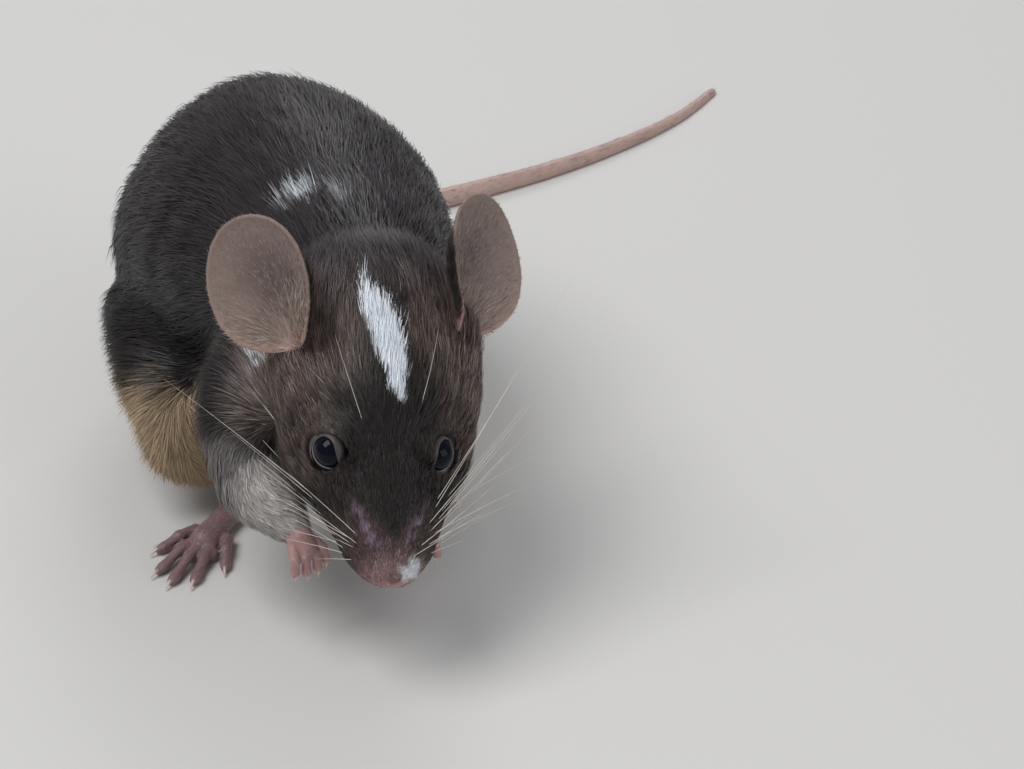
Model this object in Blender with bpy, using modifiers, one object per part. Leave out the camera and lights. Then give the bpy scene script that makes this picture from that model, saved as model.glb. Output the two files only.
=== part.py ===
"""House mouse, sitting hunched on its hind feet with the forepaws held up under the muzzle.

The solids are the animal's outer form, out to the tips of its coat.  The body is blended whole
from lofts along the head, spine and limbs, and is then parted with thin cuts where a person
would name its parts.  The mouse faces -Y, its left side is +X, and it sits on z = 0.
"""

import math

import bmesh
import bpy
from mathutils import Matrix, Vector

MM = 0.001


def mm(*values):
    """Millimetres in, metres out: one number, or a point."""
    return values[0] * MM if len(values) == 1 else Vector(values) * MM


# ---------------------------------------------------------------- driving dimensions

GAP = mm(0.3)                     # width of the cut between two neighbouring parts
VOXEL = mm(0.5)                   # grain of the blended body
PAW_VOXEL = mm(0.22)              # grain of the feet, whose toes are about 1 mm thick
BODY_TRIANGLES = 2300
FOREPAW_TRIANGLES = 340
HIND_FOOT_TRIANGLES = 440

NOSE_TIP = mm(0.0, -34.0, 12.5)
HEAD_PITCH = math.radians(42)     # nose down
HEAD_YAW = math.radians(-11)      # turned to the mouse's right
HEAD_ROLL = math.radians(6)       # left cheek lower

# Head sections: distance behind the nose tip, half width, height above and depth below the axis,
# and how far the upper corners are drawn in, so that the face is broadest at its cheeks.
HEAD_SECTIONS = (
    (0.0, 1.3, 1.1, 1.2, 0.0),    # nose pad
    (0.9, 2.8, 2.2, 2.5, 0.0),
    (3.0, 4.1, 3.5, 4.4, 0.0),    # upper lip
    (5.6, 5.4, 4.6, 5.4, 0.04),   # whisker pads
    (8.8, 7.0, 6.0, 6.2, 0.10),
    (12.6, 9.0, 7.5, 7.6, 0.15),  # eyes
    (17.0, 10.6, 8.9, 8.9, 0.06), # cheeks
    (21.5, 11.1, 9.2, 9.6, 0.0),  # ears
    (26.0, 10.7, 8.6, 9.9, 0.0),  # back of the skull
    (31.0, 8.8, 7.4, 9.2, 0.0),
    (35.0, 5.4, 4.8, 6.0, 0.0),
)

TRUNK_SLOPE = 0.065               # how far the back's sides are drawn in towards its ridge

# Trunk sections along the spine: centre x, y, z, then half width, height above and depth below.
TRUNK_SECTIONS = (
    (3.0, -20.0, 24.0, 6.0, 5.6, 6.6),
    (3.6, -14.0, 26.4, 8.8, 8.8, 10.2),       # throat
    (3.8, -7.5, 27.0, 11.0, 10.0, 13.2),      # nape
    (3.6, 0.0, 26.5, 14.2, 12.4, 16.4),       # shoulders
    (3.2, 7.5, 25.3, 16.6, 15.8, 18.6),
    (3.0, 15.0, 23.3, 17.8, 17.4, 18.6),      # top of the back
    (2.8, 22.5, 20.2, 17.8, 17.0, 17.4),      # haunches
    (2.7, 29.0, 16.4, 15.8, 15.0, 14.4),
    (2.5, 34.0, 12.0, 11.2, 10.6, 10.0),      # rump
    (2.4, 37.2, 8.6, 5.6, 5.4, 5.4),
)

# Legs: joints with the radius of the flesh there.  Right is -X.
THIGH = {"right": ((-6.5, 22.0, 15.5, 9.5), (-9.4, 12.0, 13.8, 8.4), (-12.2, 2.8, 11.2, 5.4)),
         "left": ((11.3, 22.0, 15.5, 9.5), (13.4, 12.0, 13.4, 8.4), (13.2, 4.6, 11.0, 5.4))}
SHANK = {"right": ((-12.8, 1.8, 9.6, 4.6), (-11.2, 2.4, 6.0, 3.6), (-6.8, 2.6, 3.8, 2.5)),
         "left": ((13.4, 4.2, 9.4, 4.6), (12.4, 6.6, 5.8, 3.4), (11.0, 9.0, 3.3, 2.3))}
UPPER_ARM = {"right": ((-4.0, -6.0, 21.5, 6.6), (-7.4, -10.0, 18.6, 5.8), (-9.0, -13.2, 15.8, 4.7)),
             "left": ((9.4, -6.0, 20.5, 6.4), (11.2, -9.4, 15.6, 4.7), (11.2, -11.8, 12.6, 3.8))}
FOREARM = {"right": ((-9.0, -13.4, 15.2, 4.5), (-8.0, -18.2, 14.1, 4.0), (-6.4, -22.2, 13.2, 2.5)),
           "left": ((11.0, -12.2, 12.2, 3.6), (8.8, -16.8, 11.0, 2.9), (6.2, -20.8, 11.2, 2.0))}
SIDES = (("right", -1), ("left", 1))

# Feet: where they start, and the way they point on the floor or hang from the wrist.
HIND_FOOT = {"right": ((-5.2, 1.8), (-16.8, -10.6)), "left": ((11.0, 9.8), (12.6, -6.8))}
FOOT_BALL = 0.62                  # share of the foot's length from heel to the roots of the toes
TOE_SPREAD = (-26, -11, 0, 11, 26)                # degrees, inner toe first
TOE_REACH = (4.2, 5.8, 6.2, 5.8, 4.4)
TOE_RADIUS = 0.62
PALM_LENGTH = 2.4
FINGER_SPREAD = (-20, -6, 7, 22)
FINGER_REACH = (2.0, 2.5, 2.5, 2.1)
FINGER_RADIUS = 0.52
FOREPAW_REACH = {"right": (0.28, -0.80, -0.52), "left": (-0.22, -0.80, -0.54)}
FINGER_DROOP = math.radians(52)   # how much further down the fingers point than the palm

EYE_RADIUS = mm(1.75)
EYE_PLACE = (5.0, 12.6, 3.3)      # head frame: out, back from the nose, up

EAR_LENGTH = 13.6                 # from the root to the rim
EAR_HALF_WIDTH = 5.1
EAR_EGG = 0.10                    # how much wider the outer half is than the root half
EAR_WALL = mm(0.8)
EAR_ROOT = {"right": (-8.9, 22.0, 4.9), "left": (8.1, 22.9, 4.6)}       # head frame
EAR_FACING = {"right": 35, "left": 43}    # degrees turned out from straight up off the skull
EAR_RISE = {"right": 30, "left": 16}      # degrees lifted off the line of the skull
EAR_SPLAY = {"right": 17, "left": 10}     # degrees the rim leans outwards
EAR_RINGS = 4
EAR_SPOKES = 20

# The tail's route over the floor, and its radius from root to tip.
TAIL_ROUTE = ((2.2, 34.0, 8.4), (2.6, 38.6, 5.4), (5.0, 43.6, 2.8), (11.4, 49.2, 2.0), (22.0, 52.8, 1.8),
              (34.0, 55.0, 1.6), (46.0, 57.6, 1.3), (57.0, 61.4, 1.0), (66.0, 66.0, 0.8), (73.0, 71.6, 0.6))
TAIL_RADII = (2.2, 0.5)
TAIL_FLAT = 0.22                  # how far its underside is flattened on the floor
TAIL_LANDING = (0.2, 0.42)        # shares of its length between which it settles on the floor
TAIL_PARTS = ("tail_root", "tail_middle", "tail_tip")
TAIL_STEPS = 9                   # sections in each part


# ---------------------------------------------------------------- small tools

def start_collections():
    """An empty scene with one collection for the mouse and one for the cutters."""
    for old in list(bpy.data.objects):
        bpy.data.objects.remove(old)
    made = []
    for name in ("house_mouse", "cutters"):
        collection = bpy.data.collections.new(name)
        bpy.context.scene.collection.children.link(collection)
        made.append(collection)
    return made


MOUSE, CUTTERS = start_collections()


def finish_of(name, colour, roughness):
    material = bpy.data.materials.new(name)
    material.use_nodes = True
    shader = material.node_tree.nodes["Principled BSDF"]
    shader.inputs["Base Color"].default_value = (*colour, 1.0)
    shader.inputs["Roughness"].default_value = roughness
    material.diffuse_color = (*colour, 1.0)
    return material


COAT = finish_of("dark_coat", (0.045, 0.034, 0.030), 0.62)
PALE_COAT = finish_of("pale_coat", (0.42, 0.36, 0.29), 0.66)
EAR_SKIN = finish_of("ear_skin", (0.30, 0.22, 0.19), 0.55)
BARE_SKIN = finish_of("bare_skin", (0.55, 0.33, 0.30), 0.48)
EYE_GLOSS = finish_of("eye_gloss", (0.004, 0.004, 0.006), 0.06)


def to_object(bm, name, collection=CUTTERS):
    """A bmesh as a mesh object.  A cutter or a guide stays out of the render."""
    mesh = bpy.data.meshes.new(name)
    bmesh.ops.recalc_face_normals(bm, faces=bm.faces)
    bm.to_mesh(mesh)
    bm.free()
    obj = bpy.data.objects.new(name, mesh)
    collection.objects.link(obj)
    if collection is CUTTERS:
        obj.hide_render = True
        obj.display_type = "WIRE"
    return obj


def evaluated_copy(obj, name, collection=CUTTERS):
    """The object's evaluated mesh, in world space, as a new object."""
    bpy.context.view_layer.update()
    graph = bpy.context.evaluated_depsgraph_get()
    bm = bmesh.new()
    bm.from_mesh(obj.evaluated_get(graph).to_mesh())
    bm.transform(obj.matrix_world)
    return to_object(bm, name, collection)


def discard(*objects):
    for obj in objects:
        bpy.data.objects.remove(obj)


def ring(bm, centre, side, up, half_width, rise, drop, segments, slope):
    """One loop of an egg-shaped section, taller above its centre than below or the reverse.

    A slope above 0 draws its upper corners in, so that the sides rise to a narrower ridge.
    """
    made = bmesh.ops.create_circle(bm, cap_ends=False, segments=segments, radius=1.0)["verts"]
    for vert in made:
        across, height = vert.co.x, vert.co.y
        reach = rise if height > 0 else drop
        lean = 1 - slope * (2 * across * height) ** 2 if height > 0 else 1
        vert.co = centre + side * (across * half_width * lean) + up * (height * reach * lean)
    return [edge for edge in bm.edges if edge.verts[0] in made and edge.verts[1] in made]


def loft(name, sections, segments=16, smooth=1, slopes=None):
    """A closed form through sections (centre, side, up, half width, rise, drop), softened by subdivision."""
    bm = bmesh.new()
    slopes = slopes or [0.0] * len(sections)
    loops = [ring(bm, *section, segments, slope) for section, slope in zip(sections, slopes)]
    for first, second in zip(loops, loops[1:]):
        bmesh.ops.bridge_loops(bm, edges=first + second)
    bmesh.ops.holes_fill(bm, edges=[edge for edge in bm.edges if edge.is_boundary])
    obj = to_object(bm, name)
    soften = obj.modifiers.new("soften", "SUBSURF")
    soften.levels = soften.render_levels = smooth
    return obj


def limb(name, joints, segments=12, flatness=1.0, smooth=1):
    """A round limb through joints (x, y, z, radius) in millimetres, with domed ends."""
    points = [mm(*joint[:3]) for joint in joints]
    radii = [mm(joint[3]) for joint in joints]
    sections = []
    for index, (point, radius) in enumerate(zip(points, radii)):
        ahead = points[min(index + 1, len(points) - 1)]
        behind = points[max(index - 1, 0)]
        along = (ahead - behind).normalized()
        side = along.cross(Vector((0, 0, 1))).normalized()
        up = side.cross(along)
        if index == 0:
            sections.append((point - along * radius * 0.85, side, up, radius * 0.5, radius * 0.5, radius * 0.5))
        sections.append((point, side, up, radius, radius * flatness, radius * flatness))
        if index == len(points) - 1:
            sections.append((point + along * radius * 0.85, side, up, radius * 0.5, radius * 0.5, radius * 0.5))
    return loft(name, sections, segments, smooth)


def blend(name, pieces, voxel, rounds, triangles):
    """Overlapping forms made one closed skin: voxels, then smoothing, then fewer faces."""
    bm = bmesh.new()
    for piece in pieces:
        part = evaluated_copy(piece, "part")
        bm.from_mesh(part.data)
        discard(part, piece)
    obj = to_object(bm, name)
    weld = obj.modifiers.new("voxels", "REMESH")
    weld.mode = "VOXEL"
    weld.voxel_size = voxel
    soften = obj.modifiers.new("soften", "SMOOTH")
    soften.factor = 0.5
    soften.iterations = rounds
    whole = evaluated_copy(obj, name + "_whole")
    discard(obj)
    fewer = whole.modifiers.new("fewer", "DECIMATE")
    fewer.ratio = min(1.0, triangles / (2 * len(whole.data.polygons)))
    fewer.use_collapse_triangulate = True
    made = evaluated_copy(whole, name)
    discard(whole)
    return made


def boolean(obj, cutter, operation, name, collection=CUTTERS):
    """A new object: obj with the cutter taken away, or what the two share."""
    cut = obj.modifiers.new(operation.lower(), "BOOLEAN")
    cut.operation = operation
    cut.solver = "EXACT"
    cut.object = cutter
    made = evaluated_copy(obj, name, collection)
    obj.modifiers.remove(cut)
    tidied = bmesh.new()
    tidied.from_mesh(made.data)
    bmesh.ops.dissolve_degenerate(tidied, dist=mm(0.004), edges=tidied.edges)
    bmesh.ops.remove_doubles(tidied, verts=tidied.verts, dist=mm(0.004))
    bmesh.ops.triangulate(tidied, faces=tidied.faces)
    tidied.to_mesh(made.data)
    tidied.free()
    return made


def grown(obj, by):
    """A copy of a smooth form, swelled along its normals."""
    copy = evaluated_copy(obj, obj.name + "_grown")
    swell = copy.modifiers.new("swell", "DISPLACE")
    swell.strength = by
    swell.mid_level = 0.0
    made = evaluated_copy(copy, obj.name + "_swelled")
    discard(copy)
    return made


# ---------------------------------------------------------------- the head's own frame

HEAD_TURN = (Matrix.Rotation(HEAD_YAW, 4, "Z") @ Matrix.Rotation(HEAD_PITCH, 4, "X")
             @ Matrix.Rotation(HEAD_ROLL, 4, "Y"))
HEAD = Matrix.Translation(NOSE_TIP) @ HEAD_TURN   # x out to the left, y back from the nose, z up off the skull


def head_point(out, back, up):
    return HEAD @ mm(out, back, up)


# ---------------------------------------------------------------- body forms

def head_form():
    side = HEAD_TURN.to_3x3() @ Vector((1, 0, 0))
    up = HEAD_TURN.to_3x3() @ Vector((0, 0, 1))
    sections = [
        (head_point(0, back, 0), side, up, mm(width), mm(rise), mm(drop))
        for back, width, rise, drop, _ in HEAD_SECTIONS
    ]
    return loft("head_form", sections, segments=20, slopes=[section[4] for section in HEAD_SECTIONS])


def trunk_form():
    centres = [mm(*section[:3]) for section in TRUNK_SECTIONS]
    sections = []
    for index, (centre, section) in enumerate(zip(centres, TRUNK_SECTIONS)):
        ahead = centres[min(index + 1, len(centres) - 1)]
        behind = centres[max(index - 1, 0)]
        along = (ahead - behind).normalized()
        side = along.cross(Vector((0, 0, 1))).normalized()
        up = side.cross(along)
        width, rise, drop = (mm(value) for value in section[3:])
        sections.append((centre, side, up, width, rise, drop))
    return loft("trunk_form", sections, segments=20, slopes=[TRUNK_SLOPE] * len(sections))


def body_form():
    pieces = [head_form(), trunk_form()]
    for side, _ in SIDES:
        for name, joints in (("thigh", THIGH), ("shank", SHANK), ("arm", UPPER_ARM), ("forearm", FOREARM)):
            pieces.append(limb(f"{name}_{side}_form", joints[side]))
    return blend("body", pieces, VOXEL, 14, BODY_TRIANGLES)


def hind_foot_form(side, mirror):
    """Heel, ball and five toes, lying on the floor."""
    heel, ahead = HIND_FOOT[side]
    heel, tip = Vector((*heel, 0.0)), Vector((*ahead, 0.0))
    along = (tip - heel).normalized()
    across = Vector((0, 0, 1)).cross(along) * mirror      # towards the outer toe
    ball = heel + along * (tip - heel).length * FOOT_BALL

    def spot(base, forward, out, height, radius):
        point = base + along * forward + across * out
        return (point.x, point.y, height, radius)

    pieces = [
        limb("ankle", (spot(heel, 0.4, 0, 3.6, 2.1), spot(heel, 0.2, 0, 1.5, 1.7))),
        limb("sole", (spot(heel, -0.6, 0, 1.4, 1.5), spot(heel, 4.0, 0, 1.2, 1.55), spot(ball, 0, 0, 0.9, 1.5))),
        limb("pads", (spot(ball, -0.8, -1.2, 0.8, 1.15), spot(ball, 0.2, 0, 0.9, 1.2), spot(ball, -0.8, 1.2, 0.8, 1.15))),
    ]
    for index, (spread, reach) in enumerate(zip(TOE_SPREAD, TOE_REACH)):
        set_out = (index - 2) * 0.92
        set_back = -0.45 * (index - 2) ** 2
        turn = Matrix.Rotation(math.radians(spread) * mirror, 3, "Z")
        way = turn @ along
        root = ball + across * set_out + along * (set_back - 0.6)
        joints = []
        for share, height, swell in ((0.0, 0.9, 1.1), (0.45, 1.15, 0.95), (0.8, 0.75, 1.0), (1.0, 0.5, 0.8)):
            point = root + way * reach * share
            joints.append((point.x, point.y, height, TOE_RADIUS * swell))
        pieces.append(limb(f"toe_{index}", joints, segments=8))
    return blend(f"hind_foot_{side}_form", pieces, PAW_VOXEL, 3, HIND_FOOT_TRIANGLES)


def forepaw_form(side, mirror):
    """Palm and four fingers, hanging from the wrist."""
    wrist = Vector(FOREARM[side][-1][:3])
    along = Vector(FOREPAW_REACH[side]).normalized()
    across = along.cross(Vector((0, 0, 1))).normalized() * -mirror
    up = across.cross(along) * -mirror
    if up.z < 0:
        up.negate()
    palm = wrist + along * PALM_LENGTH
    pieces = [limb("palm", ((*(wrist + along * 0.3), 1.45), (*(wrist + along * PALM_LENGTH * 0.6), 1.4), (*palm, 1.1)))]
    down = (along * math.cos(FINGER_DROOP) - up * math.sin(FINGER_DROOP)).normalized()
    for index, (spread, reach) in enumerate(zip(FINGER_SPREAD, FINGER_REACH)):
        root = palm + across * (index - 1.5) * 0.82 - along * 0.4
        sway = across * math.sin(math.radians(spread))
        middle = root + (along + sway) * reach * 0.5
        end = middle + (down + sway * 0.4) * reach * 0.62
        joints = ((*root, FINGER_RADIUS * 1.1), (*middle, FINGER_RADIUS), (*end, FINGER_RADIUS * 0.85))
        pieces.append(limb(f"finger_{index}", joints, segments=8))
    return blend(f"forepaw_{side}_form", pieces, PAW_VOXEL, 3, FOREPAW_TRIANGLES)


def ear_form(side, mirror):
    """A round leaf, cupped to a half tube at its root."""
    back = Vector((0, 1, 0))
    out = Vector((mirror, 0, 0))
    up = Vector((0, 0, 1))
    rise, splay, turned_out = (math.radians(angles[side]) for angles in (EAR_RISE, EAR_SPLAY, EAR_FACING))
    length_way = (back * math.cos(rise) + up * math.sin(rise)).normalized()
    length_way = (length_way + out * math.tan(splay)).normalized()
    facing = out * math.sin(turned_out) + up * math.cos(turned_out)
    facing = (facing - length_way * facing.dot(length_way)).normalized()
    width_way = facing.cross(length_way) * -mirror        # towards the outer edge
    root = Vector(EAR_ROOT[side])
    middle = EAR_LENGTH / 2
    bm = bmesh.new()
    loops = []
    for ring_index in range(EAR_RINGS, 0, -1):
        share = ring_index / EAR_RINGS
        made = bmesh.ops.create_circle(bm, cap_ends=ring_index == 1, segments=EAR_SPOKES, radius=1.0)["verts"]
        for vert in made:
            across = vert.co.x * EAR_HALF_WIDTH * share * (1 + EAR_EGG * vert.co.y * share)
            along = middle * (1 + vert.co.y * share)
            to_root = 1 - along / EAR_LENGTH
            cup = across ** 2 * (0.028 + 0.22 * to_root ** 2.4)
            spot = root + width_way * across + length_way * along + facing * (cup - 0.5)
            vert.co = head_point(*spot)
        loops.append([edge for edge in bm.edges if edge.verts[0] in made and edge.verts[1] in made])
    for outer, inner in zip(loops, loops[1:]):
        rim = [edge for edge in inner if len(edge.link_faces) < 2]
        bmesh.ops.bridge_loops(bm, edges=outer + rim)
    leaf = to_object(bm, f"ear_{side}_leaf")
    wall = leaf.modifiers.new("wall", "SOLIDIFY")
    wall.thickness = EAR_WALL
    wall.offset = 0
    return leaf


def tail_path(share):
    """A point and a radius at a share of the way from root to tip: the route's points joined smoothly."""
    place = share * (len(TAIL_ROUTE) - 1)
    index = min(int(place), len(TAIL_ROUTE) - 2)
    inside = place - index
    points = [Vector(TAIL_ROUTE[max(0, min(len(TAIL_ROUTE) - 1, index + step))]) for step in (-1, 0, 1, 2)]
    before, start, end, after = points
    slope_in, slope_out = (end - before) / 2, (after - start) / 2
    square, cube = inside ** 2, inside ** 3
    point = (start * (2 * cube - 3 * square + 1) + slope_in * (cube - 2 * square + inside)
             + end * (3 * square - 2 * cube) + slope_out * (cube - square))
    radius = TAIL_RADII[0] + (TAIL_RADII[1] - TAIL_RADII[0]) * share ** 0.85
    lying = radius - TAIL_FLAT
    landed = min(1.0, max(0.0, (share - TAIL_LANDING[0]) / (TAIL_LANDING[1] - TAIL_LANDING[0])))
    landed = landed * landed * (3 - 2 * landed)
    point.z = max(point.z, lying) * (1 - landed) + lying * landed
    return point, radius


def tail_parts():
    """The tail in lengths, each end a GAP from the next."""
    made = []
    for index, name in enumerate(TAIL_PARTS):
        sections = []
        for step in range(TAIL_STEPS):
            share = (index + step / (TAIL_STEPS - 1)) / len(TAIL_PARTS)
            trim = 0.0012 * (1 if step == 0 and index else -1 if step == TAIL_STEPS - 1 and index < 2 else 0)
            point, radius = tail_path(share + trim)
            ahead, behind = tail_path(min(1, share + 0.01))[0], tail_path(max(0, share - 0.01))[0]
            along = (ahead - behind).normalized()
            side = along.cross(Vector((0, 0, 1))).normalized()
            radius = mm(radius)
            sections.append((point * MM, side, side.cross(along), radius, radius, radius))
        made.append(loft(name + "_form", sections, segments=10, smooth=0))
    return made


def floor_box():
    """Everything under the floor."""
    bm = bmesh.new()
    bmesh.ops.create_cube(bm, size=mm(400))
    bmesh.ops.translate(bm, verts=bm.verts, vec=mm(0, 0, -200))
    return to_object(bm, "under_the_floor")


def slab(name, centre, facing, length):
    """A box whose near face passes through centre, reaching length along facing."""
    bm = bmesh.new()
    bmesh.ops.create_cube(bm, size=1.0)
    bmesh.ops.scale(bm, verts=bm.verts, vec=mm(90, 90, 1) + Vector((0, 0, length - mm(1))))
    bmesh.ops.translate(bm, verts=bm.verts, vec=(0, 0, length / 2))
    turn = facing.to_track_quat("Z", "Y").to_matrix().to_4x4()
    bmesh.ops.transform(bm, matrix=Matrix.Translation(centre) @ turn, verts=bm.verts)
    return to_object(bm, name)


def ball(name, centre, radius, collection=CUTTERS, across=14, rings=9):
    bm = bmesh.new()
    bmesh.ops.create_uvsphere(bm, u_segments=across, v_segments=rings, radius=radius)
    bmesh.ops.translate(bm, verts=bm.verts, vec=centre)
    return to_object(bm, name, collection)


# ---------------------------------------------------------------- parting the body

def take(body, territory_of, name):
    """Splits what lies in a territory off the body, with a GAP between.  Returns (part, what is left)."""
    inner, outer = territory_of(-GAP / 2), territory_of(GAP / 2)
    part = boolean(body, inner, "INTERSECT", name)
    rest = boolean(body, outer, "DIFFERENCE", "rest")
    discard(inner, outer, body)
    return part, rest


def around(joints, margin):
    """A territory that follows a limb, margin millimetres outside its flesh."""
    def at(change):
        wider = [(x, y, z, radius + margin + change / MM) for x, y, z, radius in joints]
        return limb("territory", wider, segments=14, smooth=0)
    return at


def beyond(centre, facing, length=mm(60)):
    """A territory on the far side of a plane."""
    return lambda change: slab("territory", centre - facing * change, facing, length)


def largest(obj, name):
    """The largest separate body of a mesh: a cut can leave a sliver."""
    bm = bmesh.new()
    bm.from_mesh(obj.data)
    left, bodies = set(bm.verts), []
    while left:
        seed = [left.pop()]
        found = set(seed)
        while seed:
            for edge in seed.pop().link_edges:
                for vert in edge.verts:
                    if vert in left:
                        left.discard(vert)
                        found.add(vert)
                        seed.append(vert)
        bodies.append(found)
    keep = max(bodies, key=len)
    bmesh.ops.delete(bm, geom=[vert for vert in bm.verts if vert not in keep], context="VERTS")
    discard(obj)
    return to_object(bm, name)


def show(obj, name, finish):
    """Puts a finished form in the mouse's collection under its node name."""
    made = largest(obj, name)
    CUTTERS.objects.unlink(made)
    MOUSE.objects.link(made)
    made.hide_render = False
    made.display_type = "TEXTURED"
    made.name = name
    made.data.materials.append(finish)
    for face in made.data.polygons:
        face.use_smooth = True
    return made


def build():
    body = body_form()
    swelled = grown(body, GAP)
    shown = []

    for side, mirror in SIDES:
        out, back, up = EYE_PLACE
        centre = head_point(out * mirror, back, up)
        shown.append(show(ball(f"eye_{side}_form", centre, EYE_RADIUS), f"eye_{side}", EYE_GLOSS))
        socket = ball("socket", centre, EYE_RADIUS + GAP)
        holed = boolean(body, socket, "DIFFERENCE", "body")
        discard(socket, body)
        body = holed

    for side, mirror in SIDES:
        leaf = ear_form(side, mirror)
        shown.append(show(boolean(leaf, swelled, "DIFFERENCE", "ear"), f"ear_{side}", EAR_SKIN))
        discard(leaf)

    under = floor_box()
    for name, length in zip(TAIL_PARTS, tail_parts()):
        clear = boolean(length, swelled, "DIFFERENCE", "clear")
        shown.append(show(boolean(clear, under, "DIFFERENCE", "length"), name, BARE_SKIN))
        discard(length, clear)

    for side, mirror in SIDES:
        foot = hind_foot_form(side, mirror)
        shank_end = around(SHANK[side], 0.4)(GAP)
        clear = boolean(foot, shank_end, "DIFFERENCE", "clear")
        shown.append(show(boolean(clear, under, "DIFFERENCE", "foot"), f"hind_foot_{side}", BARE_SKIN))
        discard(foot, clear, shank_end)
        paw = forepaw_form(side, mirror)
        shown.append(show(boolean(paw, swelled, "DIFFERENCE", "paw"), f"forepaw_{side}", BARE_SKIN))
        discard(paw)

    for side, _ in SIDES:
        for name, joints, margin, finish in (("forearm", FOREARM, 0.7, PALE_COAT), ("upper_arm", UPPER_ARM, 0.5, COAT),
                                             ("shank", SHANK, 0.4, PALE_COAT), ("thigh", THIGH, 0.4, COAT)):
            part, body = take(body, around(joints[side], margin), name)
            shown.append(show(part, f"{name}_{side}", finish))

    head_back = (HEAD_TURN @ Vector((0, 1, 0))).to_3d()
    part, body = take(body, beyond(head_point(0, 24.5, 0), -head_back), "head")
    shown.append(show(part, "head", COAT))
    for name, centre, tilt in (("neck", (3.6, -6.5, 27), 14), ("chest", (3.2, 6.5, 25), 0), ("loin", (2.6, 23, 20), -14)):
        facing = Vector((0, -math.cos(math.radians(tilt)), -math.sin(math.radians(tilt))))
        part, body = take(body, beyond(mm(*centre), facing), name)
        shown.append(show(part, name, COAT))
    shown.append(show(body, "rump", COAT))
    discard(under, swelled)
    return shown


def settle(shown):
    """Moves the mouse so that the origin is the middle of its footprint, at the level of its soles."""
    spots = [vert.co for obj in shown for vert in obj.data.vertices]
    lows = [min(spot[axis] for spot in spots) for axis in range(3)]
    highs = [max(spot[axis] for spot in spots) for axis in range(3)]
    shift = -Vector(((lows[0] + highs[0]) / 2, (lows[1] + highs[1]) / 2, lows[2]))
    for obj in shown:
        obj.data.transform(Matrix.Translation(shift))
    return shift


SHIFT = settle(build())
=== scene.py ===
"""House mouse, sitting hunched on its hind feet with the forepaws held up under the muzzle.

One skin is drawn over the solids' flesh and sunk by the depth of the coat.  The coat is joined
mesh hairs laid along it.  Lengths in this file are millimetres in the figure's own frame: the
mouse faces -Y, its left side is +X, and it sits on z = 0.
"""

import math

import bmesh
import bpy
import numpy as np
from mathutils import Matrix, Vector
from mathutils.bvhtree import BVHTree


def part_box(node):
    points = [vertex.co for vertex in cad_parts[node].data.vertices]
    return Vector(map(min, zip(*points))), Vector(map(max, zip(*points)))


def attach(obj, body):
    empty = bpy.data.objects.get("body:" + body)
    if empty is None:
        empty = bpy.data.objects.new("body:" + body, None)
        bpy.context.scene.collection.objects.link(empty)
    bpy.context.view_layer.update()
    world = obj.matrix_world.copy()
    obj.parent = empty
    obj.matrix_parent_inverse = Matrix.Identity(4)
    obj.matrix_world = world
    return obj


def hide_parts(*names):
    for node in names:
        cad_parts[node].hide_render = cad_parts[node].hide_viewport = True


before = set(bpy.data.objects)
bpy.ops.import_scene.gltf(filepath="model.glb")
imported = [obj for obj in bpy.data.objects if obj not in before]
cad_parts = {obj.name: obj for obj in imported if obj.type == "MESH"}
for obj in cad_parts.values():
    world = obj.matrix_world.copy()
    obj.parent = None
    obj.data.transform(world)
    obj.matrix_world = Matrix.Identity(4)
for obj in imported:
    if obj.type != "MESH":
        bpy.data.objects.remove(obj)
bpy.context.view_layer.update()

MM = 0.001

# ---------------------------------------------------------------- the figure's frames

NOSE = np.array((0.0, -34.0, 12.5))
HEAD_TURN = (Matrix.Rotation(math.radians(-11), 3, "Z") @ Matrix.Rotation(math.radians(42), 3, "X")
             @ Matrix.Rotation(math.radians(6), 3, "Y"))
TURN = np.array(HEAD_TURN)        # columns: out to the left, back from the nose, up off the skull
SOLID_EYE = np.array((5.0, 12.6, 3.3))          # the solids' left eye; the right one mirrors it
EYE_SPOTS = {-1: np.array((-5.15, 13.0, 3.35)), 1: np.array((4.45, 12.25, 3.35))}
EYE_RADIUS = 1.75
SIDES = (("right", -1), ("left", 1))
EAR_LENGTH = 13.6
EAR_HALF_WIDTH = 5.1
EAR_EGG = 0.10
EAR_ROOT = {"right": (-8.9, 22.0, 4.9), "left": (8.1, 22.9, 4.6)}
EAR_FACING = {"right": 35, "left": 43}
EAR_RISE = {"right": 30, "left": 16}
EAR_SPLAY = {"right": 17, "left": 10}


def head_to_figure(spots):
    return NOSE + np.asarray(spots, float) @ TURN.T


def figure_to_head(spots):
    return (spots - NOSE) @ TURN


def find_shift():
    """Where the figure's origin lies in the row frame, from the two eyes."""
    shifts = []
    for side, mirror in SIDES:
        low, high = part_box(f"eye_{side}")
        middle = np.array((low + high) / 2) / MM
        shifts.append(middle - head_to_figure(SOLID_EYE * (mirror, 1, 1)))
    return np.mean(shifts, axis=0)


SHIFT = find_shift()


def to_row(spots):
    """Figure millimetres to row metres."""
    return (np.asarray(spots, float) + SHIFT) * MM


def to_figure(spots):
    return np.asarray(spots, float) / MM - SHIFT


# The spine: middles of the trunk from throat to rump.
SPINE = np.array(((3.0, -20.0, 24.0), (3.6, -14.0, 26.4), (3.8, -7.5, 27.0), (3.6, 0.0, 26.5),
                  (3.2, 7.5, 25.3), (3.0, 15.0, 23.3), (2.8, 22.5, 20.2), (2.7, 29.0, 16.4),
                  (2.5, 34.0, 12.0), (2.4, 37.2, 8.6)))

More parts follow.
